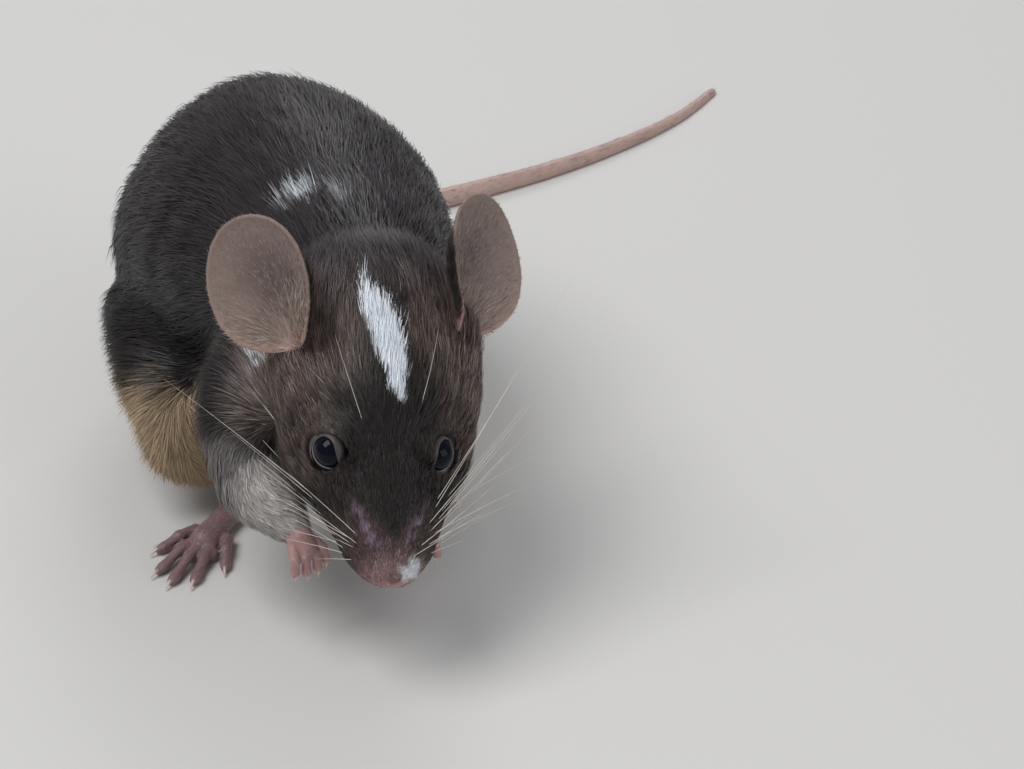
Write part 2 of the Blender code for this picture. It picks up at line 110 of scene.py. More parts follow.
# Limb joints with the radius of the flesh there.
LIMBS = {
    "thigh_right": ((-6.5, 22.0, 15.5, 9.5), (-9.4, 12.0, 13.8, 8.4), (-12.2, 2.8, 11.2, 5.4)),
    "thigh_left": ((11.3, 22.0, 15.5, 9.5), (13.4, 12.0, 13.4, 8.4), (13.2, 4.6, 11.0, 5.4)),
    "shank_right": ((-12.8, 1.8, 9.6, 4.6), (-11.2, 2.4, 6.0, 3.6), (-6.8, 2.6, 3.8, 2.5)),
    "shank_left": ((13.4, 4.2, 9.4, 4.6), (12.4, 6.6, 5.8, 3.4), (11.0, 9.0, 3.3, 2.3)),
    "upper_arm_right": ((-4.0, -6.0, 21.5, 6.6), (-7.4, -10.0, 18.6, 5.8), (-9.0, -13.2, 15.8, 4.7)),
    "upper_arm_left": ((9.4, -6.0, 20.5, 6.4), (11.2, -9.4, 15.6, 4.7), (11.2, -11.8, 12.6, 3.8)),
    "forearm_right": ((-9.0, -13.4, 15.2, 4.5), (-8.0, -18.2, 14.1, 4.0), (-6.4, -22.2, 13.2, 2.5)),
    "forearm_left": ((11.0, -12.2, 12.2, 3.6), (8.8, -16.8, 11.0, 2.9), (6.2, -20.8, 11.2, 2.0)),
}
FLESH = ("head", "neck", "chest", "loin", "rump") + tuple(LIMBS)

# ---------------------------------------------------------------- numbers and meshes


def ease(value, low, high):
    """0 at low, 1 at high, smooth between; low may be the larger."""
    share = np.clip((value - low) / (high - low), 0.0, 1.0)
    return share * share * (3 - 2 * share)


def bell(distance, radius):
    return np.exp(-(distance / radius) ** 2)


def unit(vectors):
    return vectors / np.maximum(np.linalg.norm(vectors, axis=-1, keepdims=True), 1e-9)


def norms(vectors):
    return np.linalg.norm(vectors, axis=1)


def waver(spots, size, seed):
    """Smooth random values near -1 to 1 that change over a length of size."""
    rng = np.random.default_rng(seed)
    waves = rng.normal(size=(7, 3)) / size
    phases = rng.uniform(0, 2 * math.pi, 7)
    return np.sin(spots @ waves.T * 1.6 + phases).sum(axis=1) / 3.2


def in_tangent(vectors, normals):
    """The part of each vector that lies in the surface, made one long."""
    return unit(vectors - normals * (vectors * normals).sum(axis=1, keepdims=True))


def spots_of(mesh):
    """A mesh's vertices in the figure's frame."""
    spots = np.empty(len(mesh.vertices) * 3)
    mesh.vertices.foreach_get("co", spots)
    return to_figure(spots.reshape(-1, 3))


def normals_of(mesh):
    normals = np.empty(len(mesh.vertices) * 3)
    mesh.vertices.foreach_get("normal", normals)
    return normals.reshape(-1, 3)


def write_spots(mesh, spots):
    """Moves a mesh's vertices to spots in the figure's frame."""
    mesh.vertices.foreach_set("co", np.ascontiguousarray(to_row(spots), float).ravel())
    mesh.update()


def keep_off_floor(mesh):
    """Raises to the floor what would reach under it."""
    spots = spots_of(mesh)
    spots[:, 2] = np.maximum(spots[:, 2], 0.0)
    write_spots(mesh, spots)


def edges_of(mesh):
    edges = np.empty(len(mesh.edges) * 2, np.int32)
    mesh.edges.foreach_get("vertices", edges)
    return edges.reshape(-1, 2)


def neighbour_mean(values, edges):
    """Each vertex's mean over its neighbours."""
    count = len(values)
    shares = np.bincount(edges.ravel(), minlength=count)
    means = np.empty_like(values)
    for column in range(values.shape[1]):
        whole = np.bincount(edges[:, 0], values[edges[:, 1], column], count)
        whole += np.bincount(edges[:, 1], values[edges[:, 0], column], count)
        means[:, column] = whole / np.maximum(shares, 1)
    return means


RELAX, PUSH_BACK = 0.5, -0.52     # the two steps of a round of smoothing


def soften(spots, edges, rounds, weight=1.0):
    """Smooths without shrinking."""
    for _ in range(rounds):
        for step in (RELAX, PUSH_BACK):
            spots = spots + (neighbour_mean(spots, edges) - spots) * step * weight
    return spots


def new_object(name, data):
    obj = bpy.data.objects.new(name, data)
    bpy.context.scene.collection.objects.link(obj)
    return obj


def object_from(bm, name):
    mesh = bpy.data.meshes.new(name)
    bm.to_mesh(mesh)
    bm.free()
    return new_object(name, mesh)


def closed_object(bm, name):
    """An object from closed shells, with their faces turned outwards."""
    bmesh.ops.recalc_face_normals(bm, faces=bm.faces)
    return object_from(bm, name)


def edge_loop(bm, segments, place, cap=False):
    """A closed loop of edges; place gives its spots from x and y on the unit circle."""
    made = bmesh.ops.create_circle(bm, cap_ends=cap, segments=segments, radius=1.0)["verts"]
    for vert in made:
        vert.co = place(vert.co.x, vert.co.y)
    return list({edge for vert in made for edge in vert.link_edges})


def applied(obj):
    """Makes the modifiers part of the mesh."""
    bpy.context.view_layer.update()
    graph = bpy.context.evaluated_depsgraph_get()
    mesh = bpy.data.meshes.new_from_object(obj.evaluated_get(graph))
    obj.modifiers.clear()
    old = obj.data
    obj.data = mesh
    bpy.data.meshes.remove(old)
    mesh.name = obj.name
    return obj


def shade_smooth(obj):
    obj.data.polygons.foreach_set("use_smooth", np.ones(len(obj.data.polygons), bool))
    return obj


def set_values(mesh, name, values):
    """A named value for each vertex."""
    layer = mesh.attributes.new(name, "FLOAT", "POINT")
    layer.data.foreach_set("value", np.ascontiguousarray(values, np.float32))


def finished(obj, material, slot, *nodes):
    """A finished piece: it rides on the mouse and replaces solids; the slot is not used."""
    obj.data.materials.append(material)
    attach(obj, "root")
    if nodes:
        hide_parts(*nodes)
    return obj


# ---------------------------------------------------------------- where a spot is on the mouse

def spine_at(spots):
    """The spine's middle and its direction towards the tail, abreast of each spot."""
    along = spots[:, 1]
    middle = np.stack([np.interp(along, SPINE[:, 1], SPINE[:, axis]) for axis in range(3)], axis=1)
    steps = np.gradient(SPINE, axis=0)
    way = np.stack([np.interp(along, SPINE[:, 1], steps[:, axis]) for axis in range(3)], axis=1)
    return middle, unit(way)


def along_line(spots, start, step):
    """How far along a line each spot is, from 0 to 1, and how far off it."""
    part = np.clip((spots - start) @ step / (step @ step), 0, 1)
    return part, norms(spots - start - part[:, None] * step)


def limb_at(spots, name):
    """How far along a limb each spot is, its distance over the flesh's radius, and the limb's direction."""
    joints = np.array(LIMBS[name])
    best = np.full(len(spots), 1e9)
    share = np.zeros(len(spots))
    way = np.zeros((len(spots), 3))
    for index in range(len(joints) - 1):
        start, end = joints[index, :3], joints[index + 1, :3]
        step = end - start
        part, away = along_line(spots, start, step)
        away = away / (joints[index, 3] + (joints[index + 1, 3] - joints[index, 3]) * part)
        nearer = away < best
        best = np.where(nearer, away, best)
        share = np.where(nearer, (index + part) / (len(joints) - 1), share)
        way[nearer] = step / np.linalg.norm(step)
    return share, best, way


def limb_middle(name, share):
    """A limb's middle and its flesh's radius at shares of its length."""
    joints = np.array(LIMBS[name])
    place = share * (len(joints) - 1)
    columns = [np.interp(place, range(len(joints)), joints[:, column]) for column in range(4)]
    return np.stack(columns[:3], axis=1), columns[3]


def head_share(spots):
    """1 on the head, 0 from the nape back and on the arms."""
    head = figure_to_head(spots)
    off_axis = np.hypot(head[:, 0], head[:, 2])
    share = ease(head[:, 1], 33, 25) * ease(off_axis, 15.0, 12.0)
    for side, _ in SIDES:
        _, away, _ = limb_at(spots, f"forearm_{side}")
        share = share * ease(away, 1.0, 1.16)
    return share


def before_ears(spots):
    """1 in front of the ears' roots, where the hair stands up over them."""
    head = figure_to_head(spots)
    front = np.array((0, 1.8, 0))
    return sum(bell(norms(head - EAR_ROOT[side] + front), 2.6) for side, _ in SIDES)


def jowl(spots):
    """1 on the full lower cheeks."""
    head = figure_to_head(spots)
    out, back, up = np.abs(head[:, 0]), head[:, 1], head[:, 2]
    away = np.sqrt(((out - 7.0) / 2.6) ** 2 + ((back - 11.0) / 5.0) ** 2 + ((up + 4.4) / 2.8) ** 2)
    return bell(away, 1.0) * head_share(spots)


def limb_share(spots, name):
    _, away, _ = limb_at(spots, name)
    return ease(away, 1.28, 1.02)


# ---------------------------------------------------------------- the lie, length and markings of the coat

# For each kind of limb: hair lengths at its two ends, and how strongly the hair lies along it.
LIMB_HAIR = {"thigh": (6.0, 4.2, 0.35), "shank": (3.6, 1.5, 1.0),
             "upper": (4.6, 3.4, 0.8), "forea": (3.2, 1.1, 1.4)}


def comb(spots, normals):
    """The way the hair lies: back from the nose, along the spine and down the flanks, down the limbs."""
    middle, way = spine_at(spots)
    outward = spots - middle
    flank = np.abs(outward[:, 0]) / np.maximum(norms(outward), 1e-6)
    lie = way + np.array((0, 0, -1.0)) * (0.42 * flank * ease(spots[:, 2], 4, 16))[:, None]
    head = figure_to_head(spots)
    from_nose = unit(head - np.array((0, -2.5, 0.6))) * np.array((0.8, 1, 0.8))
    on_head = head_share(spots)[:, None]
    lie = lie * (1 - on_head) + (from_nose @ TURN.T) * on_head * 1.4
    for name in LIMBS:
        _, _, strength = LIMB_HAIR[name[:5]]
        _, _, limb_way = limb_at(spots, name)
        lie = lie + limb_way * (limb_share(spots, name) * strength * (1 - on_head[:, 0]))[:, None]
    return in_tangent(lie, normals)


def near_eyes(spots):
    """1 in the hollow round each eye, where the hair stands clear of the skin."""
    head = figure_to_head(spots)
    return sum(bell(norms(head - EYE_SPOTS[mirror]) - 2.3, 0.8) for _, mirror in SIDES)


def hair_length(spots):
    """Length of the coat in millimetres."""
    head = figure_to_head(spots)
    on_face = np.interp(head[:, 1], (0.5, 2.5, 6, 10, 15, 20, 26, 32),
                        (0.45, 0.6, 1.0, 1.5, 2.2, 2.9, 4.0, 5.2))
    on_trunk = np.interp(spots[:, 1], (-12, -2, 10, 30), (4.6, 5.4, 6.2, 6.4))
    on_head = head_share(spots)
    length = on_trunk * (1 - on_head) + on_face * on_head
    for name in LIMBS:
        share, _, _ = limb_at(spots, name)
        start, end, _ = LIMB_HAIR[name[:5]]
        weight = limb_share(spots, name) * (1 - on_head)
        length = length * (1 - weight) + (start + (end - start) * share) * weight
    for _, mirror in SIDES:
        away = norms(head - EYE_SPOTS[mirror])
        length = length * (0.5 + 0.5 * ease(away, 1.8, 3.8))
    for side, _ in SIDES:
        length = length + 2.0 * bell(norms(head - np.array(EAR_ROOT[side])), 4.4) * on_head
    return length + 2.0 * jowl(spots)


def coat_depth(spots):
    """How far the skin lies under the tips of the coat; hardly at all on the full cheeks."""
    return np.clip(0.22 + hair_length(spots) * 0.24, 0.3, 1.75) * (1 - 0.9 * jowl(spots))


def blaze(spots):
    """The white stripe between the ears, pointed at both ends."""
    head = figure_to_head(spots)
    stations = (14.8, 16.8, 19.6, 22.2, 24.4, 26.4)
    middle = np.interp(head[:, 1], stations, (0.9, 0.5, 0.05, -0.25, -0.95, -1.7))
    half = np.interp(head[:, 1], stations, (0.0, 0.75, 1.35, 1.5, 1.3, 0.2))
    outside = (head[:, 1] < 14.5) | (head[:, 1] > 26.7) | (head[:, 2] < 0)
    reach = np.where(outside, -2.0, half - np.abs(head[:, 0] - middle))
    return ease(reach + 0.16 * waver(spots, 0.5, 5), -0.15, 0.2)


def mark_near(spots, centre, spans, ragged=0.25, soft=0.22):
    """1 within an egg-shaped spot, with a ragged edge."""
    away = norms((spots - np.array(centre)) / np.array(spans))
    return ease(away + ragged * waver(spots, 0.6, 8), 0.93 + soft, 0.93 - soft)


def white_mark(spots):
    """Blaze, two marks on the shoulders, one below the right ear and one beside the nose."""
    head = figure_to_head(spots)
    shoulder = 0.62 * mark_near(spots, (1.0, -3.1, 36.0), (1.5, 1.3, 4.0), 0.4, 0.4)
    beside = 0.33 * mark_near(spots, (4.2, -4.9, 36.0), (0.6, 0.9, 4.0), 0.4, 0.4)
    ear = 0.85 * mark_near(spots, (-6.2, -11.7, 25.3), (1.7, 1.5, 1.7), 0.3, 0.3)
    nose = 0.75 * mark_near(head, (1.6, 1.2, 1.5), (1.05, 1.3, 1.3), 0.25, 0.45)
    return np.maximum.reduce([blaze(spots), shoulder, beside, ear, nose])


def cheek_edge(head):
    """The tan lower edge of the cheeks, for spots in the head's frame."""
    out, back, up = np.abs(head[:, 0]), head[:, 1], head[:, 2]
    low = bell(up + 6.4 - 0.10 * (back - 12), 1.1)
    return low * ease(out, 3.0, 5.5) * ease(back, 8, 11) * ease(back, 22, 18)


def pale_mark(spots):
    """Pale underparts, throat and edge of the cheeks, and the forearms except beside the cheeks."""
    blur = 1.0 * waver(spots, 3.0, 11) + 0.6 * waver(spots, 0.7, 12)
    line = np.interp(spots[:, 1], (-25, -18, -12, 4, 12, 20, 28, 34),
                     (15.0, 16.2, 15.6, 15.2, 14.2, 11.0, 7.5, 4.5))
    belly = ease(spots[:, 2] + blur, line + 1.4, line - 1.4)
    for side, mirror in SIDES:
        share, _, _ = limb_at(spots, f"forearm_{side}")
        middle, radius = limb_middle(f"forearm_{side}", share)
        towards_cheek = ((spots - middle) @ np.array((-0.79 * mirror, 0.15, 0.59))) / radius
        sleeve = limb_share(spots, f"forearm_{side}")
        from_elbow = 0.35 + 0.65 * ease(share + 0.06 * blur, 0.02, 0.42)
        off_cheek = ease(towards_cheek + 0.12 * blur, 1.0, 0.4)
        belly = belly * (1 - sleeve) + sleeve * from_elbow * off_cheek
    head = figure_to_head(spots)
    throat = ease(head[:, 2] + 0.5 * blur, -5.2, -7.0)
    throat = throat * ease(np.abs(head[:, 0]), 6.5, 4.5) * ease(head[:, 1], 20, 14)
    on_head = head_share(spots)
    return belly * (1 - on_head) + np.maximum(throat, 0.6 * cheek_edge(head)) * on_head


def grey_mark(spots):
    """Where the pale coat is grey rather than cream: arms, throat and chin."""
    return ease(spots[:, 1], -3.0, -9.0) * (1 - 0.8 * cheek_edge(figure_to_head(spots)) * head_share(spots))


PINK_STREAKS = (((-3.9, 7.5, 3.6), (-3.0, 5.9, 3.7), (-2.5, 4.8, 3.4), (-1.9, 3.6, 3.1)),
                ((3.2, 6.6, 3.7), (2.7, 5.9, 3.8), (1.9, 4.8, 3.7), (1.0, 3.4, 3.4)))


def nose_mark(spots):
    """The bare tip of the nose."""
    head = figure_to_head(spots)
    return ease(head[:, 1], 1.5, 0.4) * ease(head[:, 2], 1.3, 0.5)


def streak_mark(spots):
    """A thinly haired streak of skin up each side of the nose's bridge."""
    head = figure_to_head(spots)
    mark = np.zeros(len(spots))
    for streak in PINK_STREAKS:
        for start, end in zip(streak, streak[1:]):
            _, away = along_line(head, np.array(start), np.array(end) - np.array(start))
            mark = np.maximum(mark, ease(away + 0.3 * waver(spots, 0.45, 14), 0.85, 0.0))
    return mark * (0.15 + 0.55 * bell(head[:, 1] - 5.0, 1.9))


def muzzle_mark(spots):
    """How brown and thin the hair is: a little on the whisker pads, most on the tip of the nose."""
    head = figure_to_head(spots)
    wedge = ease(np.abs(head[:, 0]), np.interp(head[:, 1], (4, 8), (0.2, 3.0)) - 0.7,
                 np.interp(head[:, 1], (4, 8), (0.2, 3.0)) + 0.7)
    wedge = np.where(head[:, 2] > 0, wedge, 1.0)
    pads = 0.15 * ease(head[:, 1], 8.5, 4.0) * wedge
    return pads + 0.58 * ease(head[:, 1] + 0.35 * np.abs(head[:, 0]), 4.4, 1.6)


def lightness_and_sheen_mark(spots):
    """How light the dark coat is: forehead and lower flanks darkest, crown and cheeks lightest; the top of
    the back is lighter by painted sheen.
    """
    head = figure_to_head(spots)
    out = np.abs(head[:, 0])
    # The left cheek lighter than the right: partly its paler under-fur, partly painted light falling on that
    # side.
    cheek = (0.60 + 0.25 * ease(head[:, 0], 0, 3)) * ease(out, 3.0, 7.0) * ease(head[:, 1], 7, 12)
    behind = ease(head[:, 1], 23, 28)
    crown = 0.95 * ease(head[:, 1], 15, 22) * np.maximum(ease(out, 0.8, 3.5), behind)
    face = np.clip(0.05 + cheek + crown, 0, 1)
    # The trunk lighter towards the top of the back: painted sheen.
    trunk = 0.03 + 0.5 * ease(spots[:, 2], 24, 33)
    on_head = head_share(spots)
    return face * on_head + trunk * (1 - on_head)


def sky_sheen_mark(spots):
    """Where the coat's tips are slate rather than brown: a painted sheen of the sky, over the trunk and the
    back of the head.
    """
    return np.maximum(1 - head_share(spots), ease(figure_to_head(spots)[:, 1], 20, 30))


MARKS = {"white": white_mark, "pale": pale_mark, "grey": grey_mark, "muzzle": muzzle_mark,
         "light": lightness_and_sheen_mark, "cool": sky_sheen_mark, "streak": streak_mark}


def thin_marks(**given):
    """Marks for a piece's hairs, as numbers or one value a hair; those that aren't given are 0."""
    return {name: given.get(name, 0.0) for name in MARKS}


# ---------------------------------------------------------------- materials

def new_material(name, values):
    """A material with these values on its shader's sockets."""
    material = bpy.data.materials.new(name)
    material.use_nodes = True
    shader = material.node_tree.nodes["Principled BSDF"]
    for socket, value in values.items():
        shader.inputs[socket].default_value = value
    return material, material.node_tree, shader


def value_of(tree, name):
    """The value that a piece's mesh carries under that name."""
    node = tree.nodes.new("ShaderNodeAttribute")
    node.attribute_type = "GEOMETRY"
    node.attribute_name = name
    return node.outputs["Fac"]


def mixed(tree, share, first, second, mode="MIX"):
    """Colour mix of two colours or sockets by a share or a socket."""
    node = tree.nodes.new("ShaderNodeMix")
    node.data_type = "RGBA"
    node.blend_type = mode
    for socket, value in zip((node.inputs[0], node.inputs[6], node.inputs[7]), (share, first, second)):
        if isinstance(value, bpy.types.NodeSocket):
            tree.links.new(value, socket)
        elif isinstance(value, tuple):
            socket.default_value = (*value, 1.0)
        else:
            socket.default_value = value
    return node.outputs[2]


def mottle_group():
    """Fine and coarse noise on object coordinates: a mask about 0.5 and a height for bump."""
    tree = bpy.data.node_groups.new("skin_mottle", "ShaderNodeTree")
    for name, default in (("Coarse", 300.0), ("Fine", 4000.0)):
        socket = tree.interface.new_socket(name, in_out="INPUT", socket_type="NodeSocketFloat")
        socket.default_value = default
    tree.interface.new_socket("Mask", in_out="OUTPUT", socket_type="NodeSocketFloat")
    tree.interface.new_socket("Height", in_out="OUTPUT", socket_type="NodeSocketFloat")
    inner = tree.nodes.new("NodeGroupInput")
    outer = tree.nodes.new("NodeGroupOutput")
    place = tree.nodes.new("ShaderNodeTexCoord")
    for name, out in (("Coarse", "Mask"), ("Fine", "Height")):
        noise = tree.nodes.new("ShaderNodeTexNoise")
        noise.inputs["Detail"].default_value = 3.0
        tree.links.new(place.outputs["Object"], noise.inputs["Vector"])
        tree.links.new(inner.outputs[name], noise.inputs["Scale"])
        tree.links.new(noise.outputs["Fac"], outer.inputs[out])
    return tree


MOTTLE = mottle_group()


def mottle(tree, coarse, fine):
    node = tree.nodes.new("ShaderNodeGroup")
    node.node_tree = MOTTLE
    node.inputs["Coarse"].default_value = coarse
    node.inputs["Fine"].default_value = fine
    return node.outputs["Mask"], node.outputs["Height"]


def bumped(tree, shader, height, strength, distance):
    node = tree.nodes.new("ShaderNodeBump")
    node.inputs["Strength"].default_value = strength
    node.inputs["Distance"].default_value = distance
    tree.links.new(height, node.inputs["Height"])
    tree.links.new(node.outputs["Normal"], shader.inputs["Normal"])


DARK_ROOT = (0.0075, 0.0060, 0.0062)
DARK_TIP = (0.017, 0.0130, 0.0120)
WARM_TIP = (0.235, 0.172, 0.148)
# Slate hair tips: the painted sheen of the sky on the dark coat.
SKY_SHEEN_TIP = (0.086, 0.070, 0.079)
CREAM = (0.44, 0.325, 0.205)
PALE_GREY = (0.51, 0.475, 0.455)
WHITE = (0.84, 0.89, 0.94)
NOSE_BROWN = (0.36, 0.225, 0.215)
NOSE_SKIN = (0.40, 0.22, 0.22)
STREAK = (0.34, 0.235, 0.33)
LID = (0.185, 0.150, 0.195)


def dark_ground(tree, strand):
    """The dark coat's colour, from root to tip; the tips carry painted sheen, slate from the sky and lighter
    along the back.
    """
    tip = mixed(tree, value_of(tree, "cool"), WARM_TIP, SKY_SHEEN_TIP)
    tip = mixed(tree, value_of(tree, "light"), DARK_TIP, tip)
    return mixed(tree, strand, DARK_ROOT, tip)


def markings(tree, dark):
    """The coat's colour from the marks that the mesh carries, over a dark ground."""
    colour = mixed(tree, value_of(tree, "muzzle"), dark, NOSE_BROWN)
    colour = mixed(tree, value_of(tree, "streak"), colour, STREAK)
    pale = mixed(tree, value_of(tree, "grey"), CREAM, PALE_GREY)
    colour = mixed(tree, value_of(tree, "pale"), colour, pale)
    return mixed(tree, value_of(tree, "white"), colour, WHITE)


def coat_material():
    material, tree, shader = new_material("coat", {
        "Roughness": 0.46, "Specular IOR Level": 0.32, "Sheen Weight": 0.05, "Sheen Roughness": 0.45})
    colour = markings(tree, dark_ground(tree, value_of(tree, "strand")))
    shade = value_of(tree, "tone")
    grey = tree.nodes.new("ShaderNodeCombineColor")
    for socket in grey.inputs:
        tree.links.new(shade, socket)
    colour = mixed(tree, 1.0, colour, grey.outputs[0], "MULTIPLY")
    tree.links.new(colour, shader.inputs["Base Color"])
    return material


def skin_material():
    material, tree, shader = new_material("skin_under_coat", {
        "Roughness": 0.5, "Subsurface Weight": 0.08, "Subsurface Scale": 0.0008})
    mask, height = mottle(tree, 500.0, 5200.0)
    colour = markings(tree, dark_ground(tree, mask))
    colour = mixed(tree, value_of(tree, "nose"), colour, NOSE_SKIN)
    colour = mixed(tree, value_of(tree, "lid"), colour, LID)
    tree.links.new(colour, shader.inputs["Base Color"])
    bumped(tree, shader, height, 0.35, 0.00008)
    return material


def bare_material(name, base, flush, roughness, fine, strength, at_root=None):
    """Bare skin in two patchy colours with fine creases; an ear has a third colour at its root and painted
    shade in its hollow.
    """
    material, tree, shader = new_material(name, {
        "Roughness": roughness, "Subsurface Weight": 0.25, "Subsurface Scale": 0.0012,
        "Subsurface Radius": (1.0, 0.35, 0.25)})
    mask, height = mottle(tree, 420.0, fine)
    colour = mixed(tree, mask, base, flush)
    if at_root:
        colour = mixed(tree, value_of(tree, "flush"), colour, at_root)
        # Painted shade in the ear's hollow.
        colour = mixed(tree, value_of(tree, "hollow_shade"), colour, EAR_HOLLOW_SHADE)
    tree.links.new(colour, shader.inputs["Base Color"])
    bumped(tree, shader, height, strength, 0.00006)
    return material


def plain_material(name, colour, roughness, coat=0.0):
    return new_material(name, {"Base Color": (*colour, 1.0), "Roughness": roughness, "Coat Weight": coat})[0]


EAR_FLUSH = (0.50, 0.31, 0.275)
# Dark mauve-grey for the painted shade in the ear's hollow.
EAR_HOLLOW_SHADE = (0.085, 0.055, 0.062)
COAT = coat_material()
SKIN = skin_material()
PAW_SKIN = bare_material("paw_skin", (0.50, 0.30, 0.275), (0.36, 0.19, 0.19), 0.46, 3600.0, 0.5)
# The hind feet's skin: darker and more mauve than the forepaws', its own mauve tone plus painted shade, as
# the hind feet lie in shadow.
SHADED_FOOT_SKIN = bare_material("shaded_foot_skin", (0.27, 0.165, 0.170), (0.20, 0.115, 0.128), 0.46, 3600.0, 0.5)
EAR_SKIN = bare_material("ear_skin", (0.225, 0.170, 0.148), (0.29, 0.215, 0.180), 0.55, 4200.0, 0.4,
                         EAR_FLUSH)
TAIL_SKIN = bare_material("tail_skin", (0.54, 0.385, 0.335), (0.42, 0.285, 0.25), 0.5, 3000.0, 0.5)
CLAW = plain_material("claw", (0.62, 0.50, 0.42), 0.25, 0.3)
WHISKER = plain_material("whisker", (0.74, 0.70, 0.62), 0.35)


def eye_material():
    material, tree, shader = new_material("eye", {
        "Roughness": 0.03, "IOR": 1.36, "Specular IOR Level": 0.22})
    mask, _ = mottle(tree, 900.0, 3000.0)
    colour = mixed(tree, mask, (0.0012, 0.0016, 0.0035), (0.004, 0.006, 0.014))
    tree.links.new(colour, shader.inputs["Base Color"])
    return material


EYE = eye_material()

# ---------------------------------------------------------------- the skin

SKIN_GRAIN = 0.45
CUT_FILL = 0.35                   # closes the thin cuts between the solids
MELT_ROUNDS = 34                  # rounds of smoothing that melt the solids together
DEPTH_ROUNDS = 12


def joined_flesh():
    """The flesh solids, each swollen a little so that they run together."""
    whole = bmesh.new()
    for node in FLESH:
        part = bmesh.new()
        part.from_mesh(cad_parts[node].data)
        bmesh.ops.remove_doubles(part, verts=part.verts, dist=0.00001)
        part.normal_update()
        for vert in part.verts:
            vert.co += vert.normal * CUT_FILL * MM
        mesh = bpy.data.meshes.new("part")
        part.to_mesh(mesh)
        part.free()
        whole.from_mesh(mesh)
        bpy.data.meshes.remove(mesh)
    body = object_from(whole, "skin")
    grain = body.modifiers.new("grain", "REMESH")
    grain.mode = "VOXEL"
    grain.voxel_size = SKIN_GRAIN * MM
    return applied(body)


def sink(spots, mesh, edges):
    """Lowers the surface by the coat's depth."""
    write_spots(mesh, spots)
    normals = normals_of(mesh)
    depth = coat_depth(spots)[:, None]
    for _ in range(DEPTH_ROUNDS):
        normals = unit(neighbour_mean(normals, edges) + normals)
        depth = (neighbour_mean(depth, edges) + depth) / 2
    return spots - normals * (depth + CUT_FILL * 0.8)


def refine(obj, centre, radius):
    """Divides the faces round a spot."""
    bm = bmesh.new()
    bm.from_mesh(obj.data)
    middle = Vector(to_row(centre))
    near = [edge for edge in bm.edges if (edge.verts[0].co - middle).length < radius * MM]
    bmesh.ops.subdivide_edges(bm, edges=near, cuts=1, use_grid_fill=True, smooth=0.0)
    bmesh.ops.triangulate(bm, faces=[face for face in bm.faces if len(face.verts) > 4])
    bm.to_mesh(obj.data)
    bm.free()


TEAR_CORNER = 0.30                # its turn about the eye's axis, in radians
# Degrees from the eye's axis to the lids' edge, for turns from the front (0) over the upper lid (90).
LID_TURNS = (-180, -140, -100, -60, -25, 0, 16, 28, 40, 60, 90, 130)
LID_ANGLES = (54, 50, 44, 42, 47, 58, 74, 84, 72, 56, 47, 50)


def eye_axes(mirror):
    """The way an eye looks, towards its tear corner, and towards its upper lid, in the head's frame."""
    aim = unit(np.array((0.73 * mirror, -0.30, 0.61)))
    forward = np.array((0.10 * mirror, -1.0, -0.20))
    forward = unit(forward - aim * (forward @ aim))
    return aim, forward, np.cross(aim, forward) * -mirror


def lid_edge(turn):
    """Angle of the lids' edge off the eye's axis: pointed at the tear corner, round behind."""
    turns = np.degrees(turn)
    return sum(np.interp(turns + step, LID_TURNS, LID_ANGLES, period=360) for step in (-9, -3, 3, 9)) / 4


def eye_angles(head, mirror):
    """For each spot: distance from the eye's centre, angle off its axis, and turn about the axis."""
    aim, forward, upward = eye_axes(mirror)
    away = head - EYE_SPOTS[mirror]
    distance = norms(away)
    angle = np.degrees(np.arccos(np.clip(away @ aim / np.maximum(distance, 1e-6), -1, 1)))
    return distance, angle, np.arctan2(away @ upward, away @ forward)


SOCKET_DEPTH = 0.6                # how far under the eyeball's surface the skin passes
SOCKET_REACH = 4.5                # how far from the eye's centre the skin is shaped
RIM_GAP = 0.05                    # the skin round the lids stays this far off the eyeball


def sculpt_eyes(spots):
    """Sinks the skin under the eyeballs and raises it to the lids round them."""
    head = figure_to_head(spots)
    for _, mirror in SIDES:
        centre = EYE_SPOTS[mirror]
        distance, angle, turn = eye_angles(head, mirror)
        beyond = angle - lid_edge(turn)
        limit = EYE_RADIUS - SOCKET_DEPTH + 0.66 * ease(beyond, 3, 10) + 0.032 * np.maximum(beyond - 10, 0)
        near = (distance < SOCKET_REACH) & (beyond < 75)
        target = np.where(near, np.minimum(distance, limit), distance)
        floor = (EYE_RADIUS + RIM_GAP) * ease(beyond, 3, 9)
        target = np.where(near & (distance < 2.6), np.maximum(target, floor), target)
        way = (head - centre) / np.maximum(distance, 1e-6)[:, None]
        head = centre + way * target[:, None]
    return head_to_figure(head)


LID_SEGMENTS = 80
# Degrees beyond the lids' edge and height over the eyeball, round the section of a lid.
LID_SECTION = ((-2.5, -0.34), (-0.5, -0.05), (0.6, 0.03), (3.0, 0.09), (8.0, 0.11), (15.0, 0.12),
               (24.0, 0.12), (36.0, 0.06), (50.0, -0.20), (50.0, -0.6), (10.0, -0.6))


def add_lids(bm, mirror):
    """The lids: one rounded rim hugging the eyeball and running out under the coat."""
    aim, forward, upward = eye_axes(mirror)

    def rim_spot(x, y, beyond, clear):
        turn = math.atan2(y, x)
        angle = math.radians(lid_edge(turn) + beyond)
        round_axis = forward * math.cos(turn) + upward * math.sin(turn)
        way = aim * math.cos(angle) + round_axis * math.sin(angle)
        return Vector(to_row(head_to_figure(EYE_SPOTS[mirror] + way * (EYE_RADIUS + clear))))

    loops = [edge_loop(bm, LID_SEGMENTS, lambda x, y: rim_spot(x, y, *station)) for station in LID_SECTION]
    for first, second in zip(loops, loops[1:] + loops[:1]):
        bmesh.ops.bridge_loops(bm, edges=first + second)
    faces = {face for loop in loops for edge in loop for face in edge.link_faces}
    bmesh.ops.recalc_face_normals(bm, faces=list(faces))


